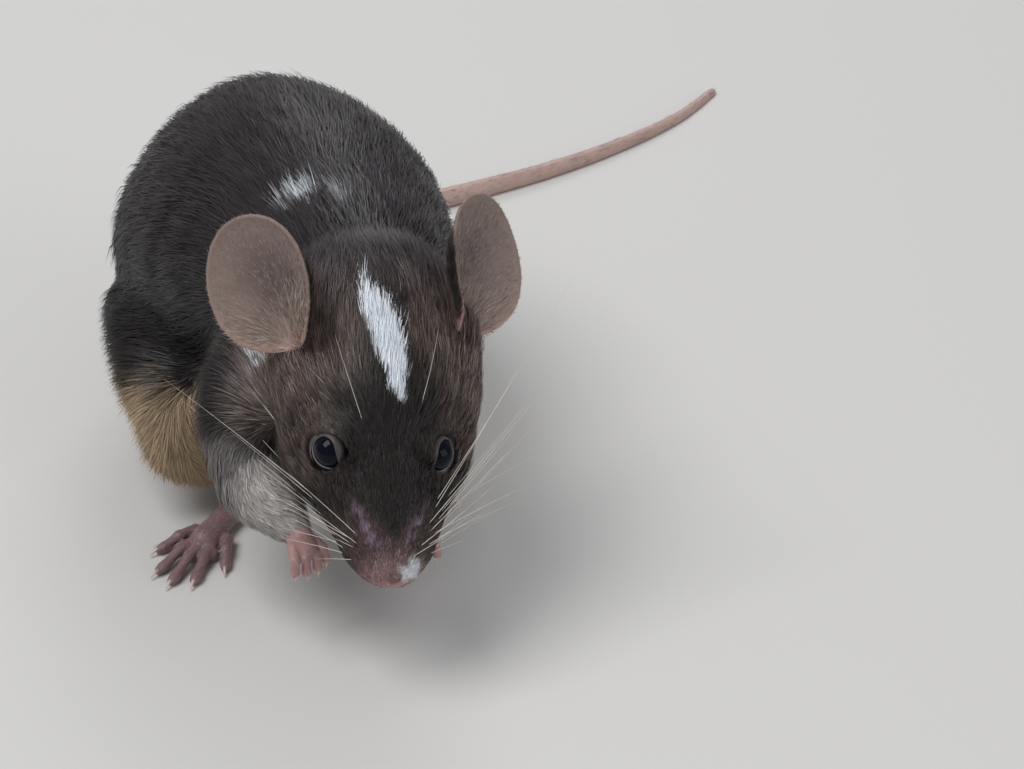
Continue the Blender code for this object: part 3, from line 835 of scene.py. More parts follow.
def sculpt_muzzle(spots, normals):
    """Nose pad, nostrils, cleft, mouth line and whisker pads."""
    head = figure_to_head(spots)
    rise = np.zeros(len(spots))
    out, back, up = np.abs(head[:, 0]), head[:, 1], head[:, 2]
    rise += 0.30 * bell(np.sqrt((out - 3.0) ** 2 + (back - 4.0) ** 2 + (up + 0.9) ** 2), 2.0)
    rise += 0.16 * bell(np.sqrt((out - 0.75) ** 2 + (back - 0.6) ** 2 + (up - 0.1) ** 2), 0.75)
    nostril = np.sqrt(((out - 0.95) / 1.3) ** 2 + ((back - 0.7) / 1.2) ** 2 + ((up + 0.1) / 0.8) ** 2)
    rise -= 0.55 * bell(nostril, 0.34)
    rise -= 0.22 * bell(out, 0.22) * ease(up, 0.6, 0.0) * ease(up, -3.0, -2.0) * ease(back, 3.5, 2.0)
    rise -= 0.12 * bell(out, 0.5) * bell(back - 1.9, 1.3) * ease(up, 0, 1)
    lip = -2.7 - 0.20 * back + 0.05 * out
    rise -= 0.42 * bell(up - lip, 0.28) * ease(back, 7.5, 6.0) * ease(back, 0.8, 1.6)
    rise += 0.18 * bell(up - lip - 0.7, 0.5) * ease(back, 7.5, 5.0)
    near = ease(back, 10, 8)
    return spots + normals * (rise * near)[:, None]


NAPE = (3.2, -4.5, 36.0)          # the hollow behind the head, which the skin fills a little
NAPE_REACH = 9.0
NAPE_RISE = 2.2
NAPE_ROUNDS = 260
MUZZLE = (0, 1.5, -0.6)           # middle of the finely modelled end of the head, in its frame


def make_skin():
    """The skin under the coat, with its eye sockets and muzzle shaped, before the lids."""
    body = joined_flesh()
    spots = spots_of(body.data)
    edges = edges_of(body.data)
    head = head_share(spots)
    spots = soften(spots, edges, MELT_ROUNDS, (1.0 - 0.35 * head)[:, None])
    nape = bell(norms(spots - np.array(NAPE)), NAPE_REACH)[:, None]
    spots = spots + np.array((0, 0, 1.0)) * NAPE_RISE * bell(spots[:, 1:2] - NAPE[1], 4.0) * nape
    for _ in range(NAPE_ROUNDS):
        spots = spots + (neighbour_mean(spots, edges) - spots) * nape * 0.7
    spots = sink(spots, body.data, edges)
    spots = soften(spots, edges, 8)
    write_spots(body.data, spots)
    for _, mirror in SIDES:
        for radius in (4.2, 3.4):
            refine(body, head_to_figure(EYE_SPOTS[mirror]), radius)
    for radius in (7.0, 4.0):
        refine(body, head_to_figure(MUZZLE), radius)
    spots = spots_of(body.data)
    edges = edges_of(body.data)
    spots = soften(spots, edges, 3)
    write_spots(body.data, spots)
    spots = sculpt_muzzle(spots, normals_of(body.data))
    spots = sculpt_eyes(spots)
    write_spots(body.data, spots)
    return shade_smooth(body)


def finish_skin(body):
    """Adds the lids and the marks, once the coat has its roots."""
    bm = bmesh.new()
    bm.from_mesh(body.data)
    for _, mirror in SIDES:
        add_lids(bm, mirror)
    bm.to_mesh(body.data)
    bm.free()
    spots = spots_of(body.data)
    for name, mark in MARKS.items():
        set_values(body.data, name, mark(spots))
    set_values(body.data, "nose", nose_mark(spots))
    lid = np.zeros(len(spots))
    head = figure_to_head(spots)
    for _, mirror in SIDES:
        distance, angle, turn = eye_angles(head, mirror)
        wide = 16 + 16 * bell(turn - TEAR_CORNER, 0.6)
        pale = 0.10 + 0.90 * ease(np.cos(turn + 0.75), 0.1, 0.8)
        near = distance < EYE_RADIUS + 1.2
        lid = np.maximum(lid, pale * near * ease(angle - lid_edge(turn), wide + 9, wide))
    set_values(body.data, "lid", lid)
    return finished(shade_smooth(body), SKIN, "dark_coat", *FLESH)


# ---------------------------------------------------------------- the coat

def scatter(mesh, density, rng):
    """Roots over a mesh, at a density per square millimetre: each root's three vertices and their shares."""
    mesh.calc_loop_triangles()
    corners = np.empty(len(mesh.loop_triangles) * 3, np.int32)
    mesh.loop_triangles.foreach_get("vertices", corners)
    corners = corners.reshape(-1, 3)
    spots = spots_of(mesh)
    first, second, third = (spots[corners[:, column]] for column in range(3))
    area = norms(np.cross(second - first, third - first)) / 2
    wanted = area * density[corners].mean(axis=1)
    count = int(wanted.sum())
    chosen = np.searchsorted(np.cumsum(wanted), rng.uniform(0, wanted.sum(), count))
    chosen = np.clip(chosen, 0, len(corners) - 1)
    shares = rng.uniform(size=(count, 2))
    folded = shares.sum(axis=1) > 1
    shares[folded] = 1 - shares[folded]
    return corners[chosen], np.column_stack([1 - shares.sum(axis=1), shares])


def at_roots(values, corners, shares):
    return (values[corners] * shares[:, :, None]).sum(axis=1)


def combed(spots, normals, edges):
    """The comb, evened out over the skin."""
    lie = comb(spots, normals)
    for _ in range(COMB_ROUNDS):
        lie = in_tangent(neighbour_mean(lie, edges) + 0.3 * lie, normals)
    return lie


def gathered(roots, size, rng):
    """Which lock each root belongs to, and that lock's middle."""
    cells = np.floor((roots + rng.normal(size=roots.shape) * size * 0.22) / size).astype(np.int64)
    keys = np.bitwise_xor.reduce(cells * LOCK_KEYS, axis=1)
    _, lock = np.unique(keys, return_inverse=True)
    count = np.bincount(lock)
    middle = np.stack([np.bincount(lock, roots[:, axis]) / count for axis in range(3)], axis=1)
    return lock, middle


def unwrap(roots, chart):
    """Each root's place on an unwrap of the skin: round the body and along it."""
    if chart == "head":
        head = figure_to_head(roots)
        turn = np.arctan2(head[:, 0], head[:, 2])
        return np.column_stack([turn / (2 * math.pi) + 0.5, head[:, 1] / 40 + 0.05])
    if chart == "limbs":
        away = np.stack([limb_at(roots, name)[1] for name in LIMBS])
        nearest = away.argmin(axis=0)
        places = np.zeros((len(roots), 2))
        for index, name in enumerate(LIMBS):
            mine = nearest == index
            share, _, way = limb_at(roots[mine], name)
            centre, _ = limb_middle(name, share)
            side = unit(np.cross(way, (0, 0, 1.0)))
            off = roots[mine] - centre
            turn = np.arctan2((off * side).sum(axis=1), (off * np.cross(side, way)).sum(axis=1))
            places[mine, 0] = (index + 0.5 + turn / (2 * math.pi) * 0.94) / len(LIMBS)
            places[mine, 1] = 0.04 + 0.9 * share
        return places
    middle, _ = spine_at(roots)
    off = roots - middle
    turn = np.arctan2(off[:, 0], off[:, 2])
    return np.column_stack([turn / (2 * math.pi) + 0.5, (roots[:, 1] + 30) / 78])


PATCH = 0.003                     # how wide a hair's patch is on the unwrap
COMB_ROUNDS = 45
SKIN_SHARE = 0.62                 # how far a hair is shaded like the skin that it lies on
LENGTHS = (0.72, 1.12)            # least and most, as shares of the coat's usual value there
WIDTHS = (0.75, 1.25)
RISES = (0.55, 1.35)
LOCK_RISES = (0.8, 1.2)
ROLL = 24                         # usual tilt of a blade about its own length, in degrees
TAPER = 2.2                       # the larger, the longer a blade stays broad
ROOT_DEPTH = 0.04
LOWEST = 0.05                     # no hair reaches lower over the floor
LOCK_KEYS = (73856093, 19349663, 83492791)   # large primes, one for each direction


def grow(name, roots, normals, lie, rng, chart, steps=2, width=0.11, lock=0.8, pull=0.35, height=0.2,
         hug=0.7, unruly=6.0, length=None, marks=None, slot="dark_coat", contrast=0.2):
    """Tapered hairs from roots, lying along the comb and drawn together into locks."""
    count = len(roots)
    length = hair_length(roots) if length is None else length
    length = length * rng.uniform(*LENGTHS, count)
    member, middle = gathered(roots, lock, rng)
    lock_turn = rng.normal(0, unruly * 0.7, member.max() + 1)[member]
    turn = np.radians(lock_turn + rng.normal(0, unruly, count) + 8 * waver(roots, 5.0, 21))[:, None]
    lie = in_tangent(lie, normals)
    lie = lie * np.cos(turn) + np.cross(normals, lie) * np.sin(turn)
    across = np.cross(normals, lie)
    roll = np.radians(rng.normal(0, ROLL, count))[:, None]
    broad = across * np.cos(roll) + normals * np.sin(roll)
    lock_rise = rng.uniform(*LOCK_RISES, member.max() + 1)[member]
    rise = length * height * rng.uniform(*RISES, count) * lock_rise
    fluffed = 1.4 * jowl(roots) + 1.5 * before_ears(roots)
    rise = rise + 0.35 * near_eyes(roots) + fluffed * rng.uniform(0.5, 1.2, count)
    bend = np.interp(length, (0.5, 1.5, 3.0, 6.0), (3.0, 6.0, 10.0, 17.0))
    drawn = in_tangent(middle[member] - roots, normals)
    drawn = drawn * np.linalg.norm(middle[member] - roots, axis=1, keepdims=True) * pull
    levels = np.linspace(0, 1, steps + 1) ** 0.9
    wide = width * rng.uniform(*WIDTHS, count)[:, None] / 2
    rows, facing = [], []
    for level in levels:
        reach = length * level
        fall = hug * reach ** 2 / (2 * bend)
        up = rise * (1 - (1 - level) ** 2) - fall - ROOT_DEPTH
        spine = roots + lie * reach[:, None] + normals * up[:, None] + drawn * level ** 1.6
        slope = (2 * rise * (1 - level) - hug * reach) / np.maximum(length, 0.1)
        flat = unit(normals - lie * slope[:, None] * 0.8)
        shaded = unit(flat * SKIN_SHARE + unit(np.cross(lie, broad)) * (1 - SKIN_SHARE))
        half = broad * wide * max(1 - level ** TAPER, 0.3)
        rows += (spine - half, spine + half) if level < 1 else (spine,)
        facing += [shaded] * (2 if level < 1 else 1)
    size = len(rows)
    corners = np.stack(rows, axis=1).reshape(-1, 3)
    corners[:, 2] = np.maximum(corners[:, 2], LOWEST)
    base = (np.arange(count) * size)[:, None]
    quads = [base + np.array((2 * step + 1, 2 * step, 2 * step + 2, 2 * step + 3))
             for step in range(steps - 1)]
    point = base + np.array((2 * steps - 1, 2 * steps - 2, 2 * steps))
    indices = np.concatenate(quads + [point], axis=1).astype(np.int32).ravel()
    sides = np.tile([4] * (steps - 1) + [3], count).astype(np.int32)
    mesh = bpy.data.meshes.new(name)
    mesh.vertices.add(len(corners))
    mesh.vertices.foreach_set("co", to_row(corners).ravel())
    mesh.loops.add(len(indices))
    mesh.loops.foreach_set("vertex_index", indices)
    mesh.polygons.add(len(sides))
    mesh.polygons.foreach_set("loop_start", np.concatenate([[0], np.cumsum(sides)[:-1]]).astype(np.int32))
    mesh.polygons.foreach_set("loop_total", sides)
    mesh.polygons.foreach_set("use_smooth", np.ones(len(sides), bool))
    mesh.update(calc_edges=True)
    mesh.validate()
    mesh.normals_split_custom_set_from_vertices(np.stack(facing, axis=1).reshape(-1, 3))
    strand = np.tile(np.repeat(levels, 2)[:size], count)
    set_values(mesh, "strand", strand)
    for label, mark in MARKS.items():
        values = (marks or {}).get(label)
        values = mark(roots) if values is None else values * np.ones(count)
        if label == "light":
            values = values + rng.normal(0, 0.10, count) + 0.10 * waver(roots, 5.0, 31)
        set_values(mesh, label, np.repeat(np.clip(values, 0, 1), size))
    lock_tone = rng.normal(0, 0.5, member.max() + 1)[member]
    tone = np.exp(contrast * (1 - 0.7 * white_mark(roots)) * (rng.normal(0, 1, count) + lock_tone))
    set_values(mesh, "tone", np.repeat(tone, size))
    place = np.repeat(unwrap(roots, chart), size, axis=0)
    patch = np.column_stack([np.tile((-0.5, 0.5), steps + 1)[:size], strand[:size]])
    offset = np.tile(patch, (count, 1)) * PATCH
    chart_spots = (np.clip(place, 0.004, 0.993) + offset)[indices]
    layer = mesh.uv_layers.new(name="OFBake")
    layer.data.foreach_set("uv", np.ascontiguousarray(chart_spots, np.float32).ravel())
    return finished(new_object(name, mesh), COAT, slot)


def hair_density(spots, normals):
    """Hairs wanted per square millimetre: dense where they are short."""
    head = figure_to_head(spots)
    on_head = head_share(spots)
    face = np.interp(head[:, 1], (0.2, 1.2, 3, 8, 14, 20, 28), (60, 120, 190, 170, 130, 90, 55))
    density = face * on_head + 40 * (1 - on_head)
    density = density * (1 - 0.6 * nose_mark(spots)) * (1 - 0.5 * streak_mark(spots))
    density = np.where(normals[:, 2] < -0.55, density * 0.6, density)
    for _, mirror in SIDES:
        distance, angle, turn = eye_angles(head, mirror)
        lower_lid = 12 * ease(np.cos(turn + 0.9), -0.35, 0.35)
        bare = lid_edge(turn) + 8 + lower_lid + 20 * bell(turn - TEAR_CORNER, 0.5)
        density = np.where((angle < bare) & (distance < 3.4), 0, density)
    return density


# Where the coat's pieces meet: along the head, over the floor, and along the trunk.
FACE_FRONT, CROWN_FRONT = 9, 16
UNDER_TOP = 9.5
LOIN_FRONT, RUMP_FRONT = 2, 16


def make_coat(body):
    """The coat over the skin, in pieces."""
    rng = np.random.default_rng(4)
    spots, normals = spots_of(body.data), normals_of(body.data)
    corners, shares = scatter(body.data, hair_density(spots, normals), rng)
    roots = at_roots(spots, corners, shares)
    ways = unit(at_roots(normals, corners, shares))
    lies = at_roots(combed(spots, normals, edges_of(body.data)), corners, shares)
    head = figure_to_head(roots)
    on_head = head_share(roots) > 0.5
    limb = np.zeros(len(roots), bool)
    for name in LIMBS:
        if name.startswith(("forearm", "shank", "upper")):
            limb |= (limb_share(roots, name) > 0.5) & ~on_head
    middle, _ = spine_at(roots)
    left = roots[:, 0] > middle[:, 0]
    left_head = head[:, 0] > 0
    trunk = ~on_head & ~limb
    under = trunk & (roots[:, 2] < UNDER_TOP)
    upper = trunk & ~under
    loin = roots[:, 1] >= LOIN_FRONT
    rump = roots[:, 1] >= RUMP_FRONT
    muzzle = head[:, 1] < FACE_FRONT
    crown = head[:, 1] >= CROWN_FRONT
    short = dict(chart="head", width=0.068, lock=0.40, pull=0.25, height=0.20, hug=0.8, unruly=5.5,
                 contrast=0.36)
    middling = dict(short, width=0.085, lock=0.6, pull=0.30, height=0.18, contrast=0.42)
    long = dict(chart="trunk")
    pieces = {
        "coat_muzzle": (on_head & muzzle, short),
        "coat_face": (on_head & ~muzzle & ~crown, short),
        "coat_crown_right": (on_head & crown & ~left_head, middling),
        "coat_crown_left": (on_head & crown & left_head, middling),
        "coat_limbs": (limb, dict(chart="limbs", width=0.09, lock=0.6, hug=0.85)),
        "coat_under": (under, long),
        "coat_shoulders": (upper & ~loin, long),
        "coat_back_right": (upper & loin & ~rump & ~left, long),
        "coat_back_left": (upper & loin & ~rump & left, long),
        "coat_rump_right": (upper & rump & ~left, long),
        "coat_rump_left": (upper & rump & left, long),
    }
    for name, (mine, manner) in pieces.items():
        grow(name, roots[mine], ways[mine], lies[mine], rng, **manner)


def thin_hair(obj, name, density, length, lie_of, marks_of, slot, rng, width=0.05):
    """Short sparse hair over a bare piece."""
    spots, normals = spots_of(obj.data), normals_of(obj.data)
    corners, shares = scatter(obj.data, density(spots, normals), rng)
    roots = at_roots(spots, corners, shares)
    ways = unit(at_roots(normals, corners, shares))
    grow(name, roots, ways, lie_of(roots, ways), rng, "limbs", width=width, lock=0.5, pull=0.1, height=0.22,
         hug=0.5, unruly=8.0, length=length(roots, ways), marks=marks_of(roots, ways), slot=slot)


# ---------------------------------------------------------------- eyes

def make_eye(side, mirror):
    """Eyeball with a clear bulge of cornea."""
    bm = bmesh.new()
    bmesh.ops.create_icosphere(bm, subdivisions=5, radius=EYE_RADIUS * MM)
    aim = HEAD_TURN @ Vector(eye_axes(mirror)[0])
    for vert in bm.verts:
        facing = max(0.0, vert.co.normalized().dot(aim))
        vert.co *= 1 + 0.05 * facing ** 6
    bmesh.ops.translate(bm, verts=bm.verts, vec=Vector(to_row(head_to_figure(EYE_SPOTS[mirror]))))
    eye = shade_smooth(object_from(bm, f"eyeball_{side}"))
    return finished(eye, EYE, "eye_gloss", f"eye_{side}")


# ---------------------------------------------------------------- lofts, limbs and feet

def ring(bm, centre, side, up, radius, segments):
    return edge_loop(bm, segments, lambda x, y: centre + side * (x * radius) + up * (y * radius))


def loft(bm, stations, segments=16):
    """A closed tube through stations (centre, side, up, radius), added to bm."""
    loops = [ring(bm, *station, segments) for station in stations]
    for first, second in zip(loops, loops[1:]):
        bmesh.ops.bridge_loops(bm, edges=first + second)
    for loop in (loops[0], loops[-1]):
        bmesh.ops.contextual_create(bm, geom=loop)


DOME = ((0.38, 0.92), (0.72, 0.69), (0.95, 0.3))     # steps ahead and radii of a rod's rounded end


def rod(bm, joints, segments=14):
    """A round limb through joints (x, y, z, radius) in figure millimetres, with domed ends."""
    points = [Vector(to_row(joint[:3])) for joint in joints]
    radii = [joint[3] * MM for joint in joints]
    stations = []
    for index, (point, radius) in enumerate(zip(points, radii)):
        along = (points[min(index + 1, len(points) - 1)] - points[max(index - 1, 0)]).normalized()
        side = along.cross(Vector((0, 0, 1))).normalized()
        up = side.cross(along)
        rings = [(0.0, 1.0)]
        if index == 0:
            rings = [(-ahead, share) for ahead, share in reversed(DOME)] + rings
        if index == len(points) - 1:
            rings = rings + list(DOME)
        for ahead, share in rings:
            stations.append((point + along * radius * ahead, side, up, radius * share))
    loft(bm, stations, segments)


def knob(bm, spot, radius, stretch=(1, 1, 1)):
    """A rounded pad."""
    made = bmesh.ops.create_icosphere(bm, subdivisions=3, radius=radius * MM)["verts"]
    bmesh.ops.scale(bm, verts=made, vec=stretch)
    bmesh.ops.translate(bm, verts=made, vec=Vector(to_row(spot)))


def fused(bm, name, grain, rounds):
    """Overlapping forms as one smooth skin."""
    obj = closed_object(bm, name)
    weld = obj.modifiers.new("grain", "REMESH")
    weld.mode = "VOXEL"
    weld.voxel_size = grain * MM
    smooth = obj.modifiers.new("smooth", "SMOOTH")
    smooth.iterations = rounds
    smooth.factor = 0.5
    return shade_smooth(applied(obj))


CLAW_STEPS = 5
CLAW_HOOK = 0.45                  # how far the tip hooks down, as a share of its length


def claw(bm, root, way, down, length, radius):
    """A small curved claw."""
    points = []
    for share in np.arange(CLAW_STEPS + 1) / CLAW_STEPS:
        spot = root + way * length * share + down * length * CLAW_HOOK * share ** 2
        points.append((*spot, radius * (1 - share) ** 0.7 + 0.02))
    rod(bm, points, 8)


HIND_FOOT = {"right": ((-5.2, 1.8), (-16.8, -10.6)), "left": ((11.0, 9.8), (12.6, -6.8))}
FOOT_BALL = 0.62
FOOT_PADS = ((0.2, -1.3, 0.95), (0.9, -0.45, 0.9), (0.9, 0.5, 0.9), (0.2, 1.35, 0.95),
             (-1.8, -1.0, 0.8), (-2.6, 0.9, 0.75))   # forwards, out, radius
TOE_SPREAD = (-26, -11, 0, 11, 26)
TOE_REACH = (4.2, 5.8, 6.2, 5.8, 4.4)
TOE_SECTIONS = ((0.0, 0.95, 0.72), (0.3, 1.15, 0.56), (0.46, 1.2, 0.62), (0.6, 1.0, 0.5),
                (0.78, 0.72, 0.53), (0.9, 0.6, 0.60), (1.0, 0.55, 0.48))   # share, height, radius
FOREPAW_REACH = {"right": (0.28, -0.80, -0.52), "left": (-0.22, -0.80, -0.54)}
PALM_PADS = ((-0.2, -0.8), (0.1, 0.0), (-0.2, 0.8), (-1.6, -0.6), (-1.6, 0.6))
FINGER_SPREAD = (-20, -6, 7, 22)
FINGER_REACH = (2.0, 2.5, 2.5, 2.1)
FINGER_DROOP = math.radians(52)


def lifted(base, along, across, forward, out, height, radius):
    """A joint of a rod over a foot's sole."""
    spot = base + along * forward + across * out
    return (spot[0], spot[1], height, radius)


def make_hind_foot(side, mirror):
    """Long sole, pads, and five knuckled toes with claws."""
    heel, tip = (np.array((*place, 0.0)) for place in HIND_FOOT[side])
    along = unit(tip - heel)
    across = np.cross((0, 0, 1.0), along) * mirror
    ball = heel + along * np.linalg.norm(tip - heel) * FOOT_BALL
    ankle = np.array(LIMBS[f"shank_{side}"][-1])
    bm, claws = bmesh.new(), bmesh.new()
    rod(bm, (tuple(ankle[:3] + (0, 0, 0.6)) + (1.9,), lifted(heel, along, across, 0.5, 0, 2.3, 1.85),
             lifted(heel, along, across, 0.1, 0, 1.5, 1.6)))
    rod(bm, (lifted(heel, along, across, -0.6, 0, 1.35, 1.35),
             lifted(heel, along, across, 2.5, 0, 1.35, 1.35),
             lifted(heel, along, across, 6.0, 0, 1.25, 1.3),
             lifted(ball, along, across, -1.0, 0, 1.15, 1.5)))
    for forward, out, radius in FOOT_PADS:
        knob(bm, ball + along * forward + across * out + (0, 0, 0.72), radius, (1, 1, 0.75))
    for index, (spread, reach) in enumerate(zip(TOE_SPREAD, TOE_REACH)):
        angle = math.radians(spread) * mirror
        way = np.array((along[0] * math.cos(angle) - along[1] * math.sin(angle),
                        along[0] * math.sin(angle) + along[1] * math.cos(angle), 0.0))
        from_middle = index - 2
        root = ball + across * from_middle * 0.92 + along * (-0.45 * from_middle ** 2 - 0.6)
        joints = []
        for share, height, radius in TOE_SECTIONS:
            joints.append((*(root + way * reach * share)[:2], height, radius))
        rod(bm, joints, 12)
        end = root + way * reach * 1.02
        claw(claws, np.array((end[0], end[1], 0.72)), way, np.array((0, 0, -1.0)), 1.15, 0.2)
    foot = fused(bm, f"hind_foot_skin_{side}", 0.13, 5)
    keep_off_floor(foot.data)
    finished(foot, SHADED_FOOT_SKIN, "bare_skin", f"hind_foot_{side}")
    make_claws(claws, f"hind_claws_{side}")
    return foot


def make_claws(bm, name):
    return finished(shade_smooth(closed_object(bm, name)), CLAW, "bare_skin")


def make_forepaw(side, mirror):
    """Palm and four fingers curled under, with claws."""
    wrist = np.array(LIMBS[f"forearm_{side}"][-1][:3])
    along = unit(np.array(FOREPAW_REACH[side]))
    across = unit(np.cross(along, (0, 0, 1.0))) * -mirror
    up = np.cross(across, along)
    up = up if up[2] > 0 else -up
    palm = wrist + along * 2.4
    bm, claws = bmesh.new(), bmesh.new()
    rod(bm, ((*(wrist - along * 2.0), 1.3), (*wrist, 1.3), (*(wrist + along * 1.4), 1.35), (*palm, 1.1)))
    for forward, out in PALM_PADS:
        knob(bm, palm + along * forward + across * out - up * 0.75, 0.55)
    down = unit(along * math.cos(FINGER_DROOP) - up * math.sin(FINGER_DROOP))
    for index, (spread, reach) in enumerate(zip(FINGER_SPREAD, FINGER_REACH)):
        root = palm + across * (index - 1.5) * 0.82 - along * 0.4
        sway = across * math.sin(math.radians(spread))
        middle = root + (along + sway) * reach * 0.5
        end = middle + (down + sway * 0.4) * reach * 0.62
        joints = ((*root, 0.58), (*((root + middle) / 2), 0.48), (*middle, 0.54),
                  (*((middle + end) / 2), 0.43), (*end, 0.50))
        rod(bm, joints, 12)
        tip = end + down * 0.25 + up * 0.12
        claw(claws, tip, unit(down + along * 0.2), -along * 0.4 - up * 0.6, 0.85, 0.15)
    knob(bm, palm - along * 1.1 - across * 1.15 - up * 0.35, 0.5)
    paw = fused(bm, f"forepaw_skin_{side}", 0.11, 5)
    finished(paw, PAW_SKIN, "bare_skin", f"forepaw_{side}")
    make_claws(claws, f"fore_claws_{side}")
    return paw


# ---------------------------------------------------------------- tail

TAIL_ROUTE = np.array(((2.2, 34.0, 8.4), (2.6, 38.6, 5.4), (5.0, 43.6, 2.8), (11.4, 49.2, 2.0),
                       (22.0, 52.8, 1.8), (34.0, 55.0, 1.6), (46.0, 57.6, 1.3), (57.0, 61.4, 1.0),
                       (66.0, 66.0, 0.8), (73.0, 71.6, 0.6)))
TAIL_RADII = (2.2, 0.5)
TAIL_FLAT = 0.22
TAIL_LANDING = (0.2, 0.42)        # shares of its length between which it settles on the floor
TAIL_RINGS = 190
TAIL_STEPS = 4                    # sections in each ring of scales
SCALE_SWELL = 0.035               # how far a ring of scales widens the tail, as a share of its radius
TAIL_STEP = 0.004                 # share of the length over which its direction is taken


def tail_path(share):
    """A point and a radius at a share of the way from root to tip."""
    place = share * (len(TAIL_ROUTE) - 1)
    index = min(int(place), len(TAIL_ROUTE) - 2)
    inside = place - index
    picks = [TAIL_ROUTE[max(0, min(len(TAIL_ROUTE) - 1, index + step))] for step in (-1, 0, 1, 2)]
    before, start, end, after = picks
    slope_in, slope_out = (end - before) / 2, (after - start) / 2
    square, cube = inside ** 2, inside ** 3
    point = (start * (2 * cube - 3 * square + 1) + slope_in * (cube - 2 * square + inside)
             + end * (3 * square - 2 * cube) + slope_out * (cube - square))
    radius = TAIL_RADII[0] + (TAIL_RADII[1] - TAIL_RADII[0]) * share ** 0.85
    lying = radius - TAIL_FLAT
    landed = ease(share, *TAIL_LANDING)
    point[2] = max(point[2], lying) * (1 - landed) + lying * landed
    return point, radius


def make_tail():
    """The tail, ringed with scales."""
    bm = bmesh.new()
    stations = []
    steps = TAIL_RINGS * TAIL_STEPS
    for step in range(steps + 1):
        share = step / steps
        point, radius = tail_path(share)
        ahead, _ = tail_path(min(1, share + TAIL_STEP))
        behind, _ = tail_path(max(0, share - TAIL_STEP))
        along = Vector(ahead - behind).normalized()
        side = along.cross(Vector((0, 0, 1))).normalized()
        swell = 1 + SCALE_SWELL * (step % TAIL_STEPS) / (TAIL_STEPS - 1) - 0.03
        radius = radius * swell * MM * min(1.0, math.sqrt(max(0.0, 1 - share) * 60) + 0.25)
        stations.append((Vector(to_row(point)), side, side.cross(along), radius))
    loft(bm, stations, 20)
    tail = shade_smooth(closed_object(bm, "tail_skin"))
    keep_off_floor(tail.data)
    return finished(tail, TAIL_SKIN, "bare_skin", "tail_root", "tail_middle", "tail_tip")


# ---------------------------------------------------------------- ears

def ear_frame(side, mirror):
    """The ear's root, and its length, width and facing directions, in the head's frame."""
    rise, splay, turned_out = (math.radians(angles[side]) for angles in (EAR_RISE, EAR_SPLAY, EAR_FACING))
    length_way = unit(np.array((mirror * math.tan(splay), math.cos(rise), math.sin(rise))))
    facing = np.array((math.sin(turned_out) * mirror, 0, math.cos(turned_out)))
    facing = unit(facing - length_way * (facing @ length_way))
    return np.array(EAR_ROOT[side]), length_way, np.cross(facing, length_way) * -mirror, facing


# Height, place across and along the leaf, and size of the swells and hollows in an ear.
EAR_FOLDS = ((0.40, (2.2, 4.6), 2.2), (0.34, (-2.3, 3.6), 1.8), (0.16, (0.4, 6.2), 0.7),
             (-0.55, (-0.4, 5.0), 9.0), (-0.45, (-0.6, 2.6), 2.0))
EAR_RINGS, EAR_SPOKES = 22, 72
EAR_WALL = 0.40


def dent(across, along, where, size):
    return math.exp(-((across - where[0]) ** 2 + (along - where[1]) ** 2) / size)


def ear_spot(side, mirror, x, y):
    """A spot of the ear's leaf for x and y in a unit disc: y is -1 at the root and 1 at the rim."""
    root, length_way, width_way, facing = ear_frame(side, mirror)
    reach = math.hypot(x, y)
    across = x * EAR_HALF_WIDTH * (1 + EAR_EGG * y)
    along = EAR_LENGTH / 2 * (1 + y)
    to_root = 1 - along / EAR_LENGTH
    cup = across ** 2 * (0.028 + 0.22 * to_root ** 2.4)
    rolled = 0.30 * (max(0.0, reach - 0.86) / 0.14) ** 2
    ripple = 0.08 * math.sin(5 * math.atan2(x, y) + 1.0) * reach ** 2
    folds = sum(height * dent(across, along, where, size) for height, where, size in EAR_FOLDS)
    lift = cup - 0.5 + rolled + ripple + folds
    return head_to_figure(root + width_way * across + length_way * along + facing * lift)


def leaf_place(spots, side, mirror):
    """How far along the ear from its root, and how far across it, each spot is."""
    root, length_way, width_way, _ = ear_frame(side, mirror)
    away = figure_to_head(spots) - root
    return away @ length_way, away @ width_way


def in_hollow(normals, side, mirror):
    """1 on the ear's hollow side and 0 on its back."""
    facing = ear_frame(side, mirror)[3]
    return ease((normals @ TURN) @ facing, -0.2, 0.3)


def make_ear(side, mirror):
    """A thin cupped leaf with a rolled rim and folds at its root."""
    bm = bmesh.new()
    loops = []
    for index in range(EAR_RINGS, 0, -1):
        share = index / EAR_RINGS
        loops.append(edge_loop(
            bm, EAR_SPOKES, cap=index == 1,
            place=lambda x, y: Vector(to_row(ear_spot(side, mirror, x * share, y * share)))))
    for outer, inner in zip(loops, loops[1:]):
        bmesh.ops.bridge_loops(bm, edges=outer + [edge for edge in inner if len(edge.link_faces) < 2])
    ear = closed_object(bm, f"ear_skin_{side}")
    wall = ear.modifiers.new("wall", "SOLIDIFY")
    wall.thickness = EAR_WALL * MM
    wall.offset = 0
    round_off = ear.modifiers.new("round", "SUBSURF")
    round_off.levels = round_off.render_levels = 1
    shade_smooth(applied(ear))
    along, across = leaf_place(spots_of(ear.data), side, mirror)
    inner = in_hollow(normals_of(ear.data), side, mirror)
    set_values(ear.data, "flush", ease(along, 7.0, 1.0))
    # Painted shade on the hollow side, darkest towards its middle.
    set_values(ear.data, "hollow_shade", 0.75 * inner * bell(np.hypot(across + 1.2, (along - 7.6) * 0.85), 3.3))
    return finished(ear, EAR_SKIN, "ear_skin", f"ear_{side}")


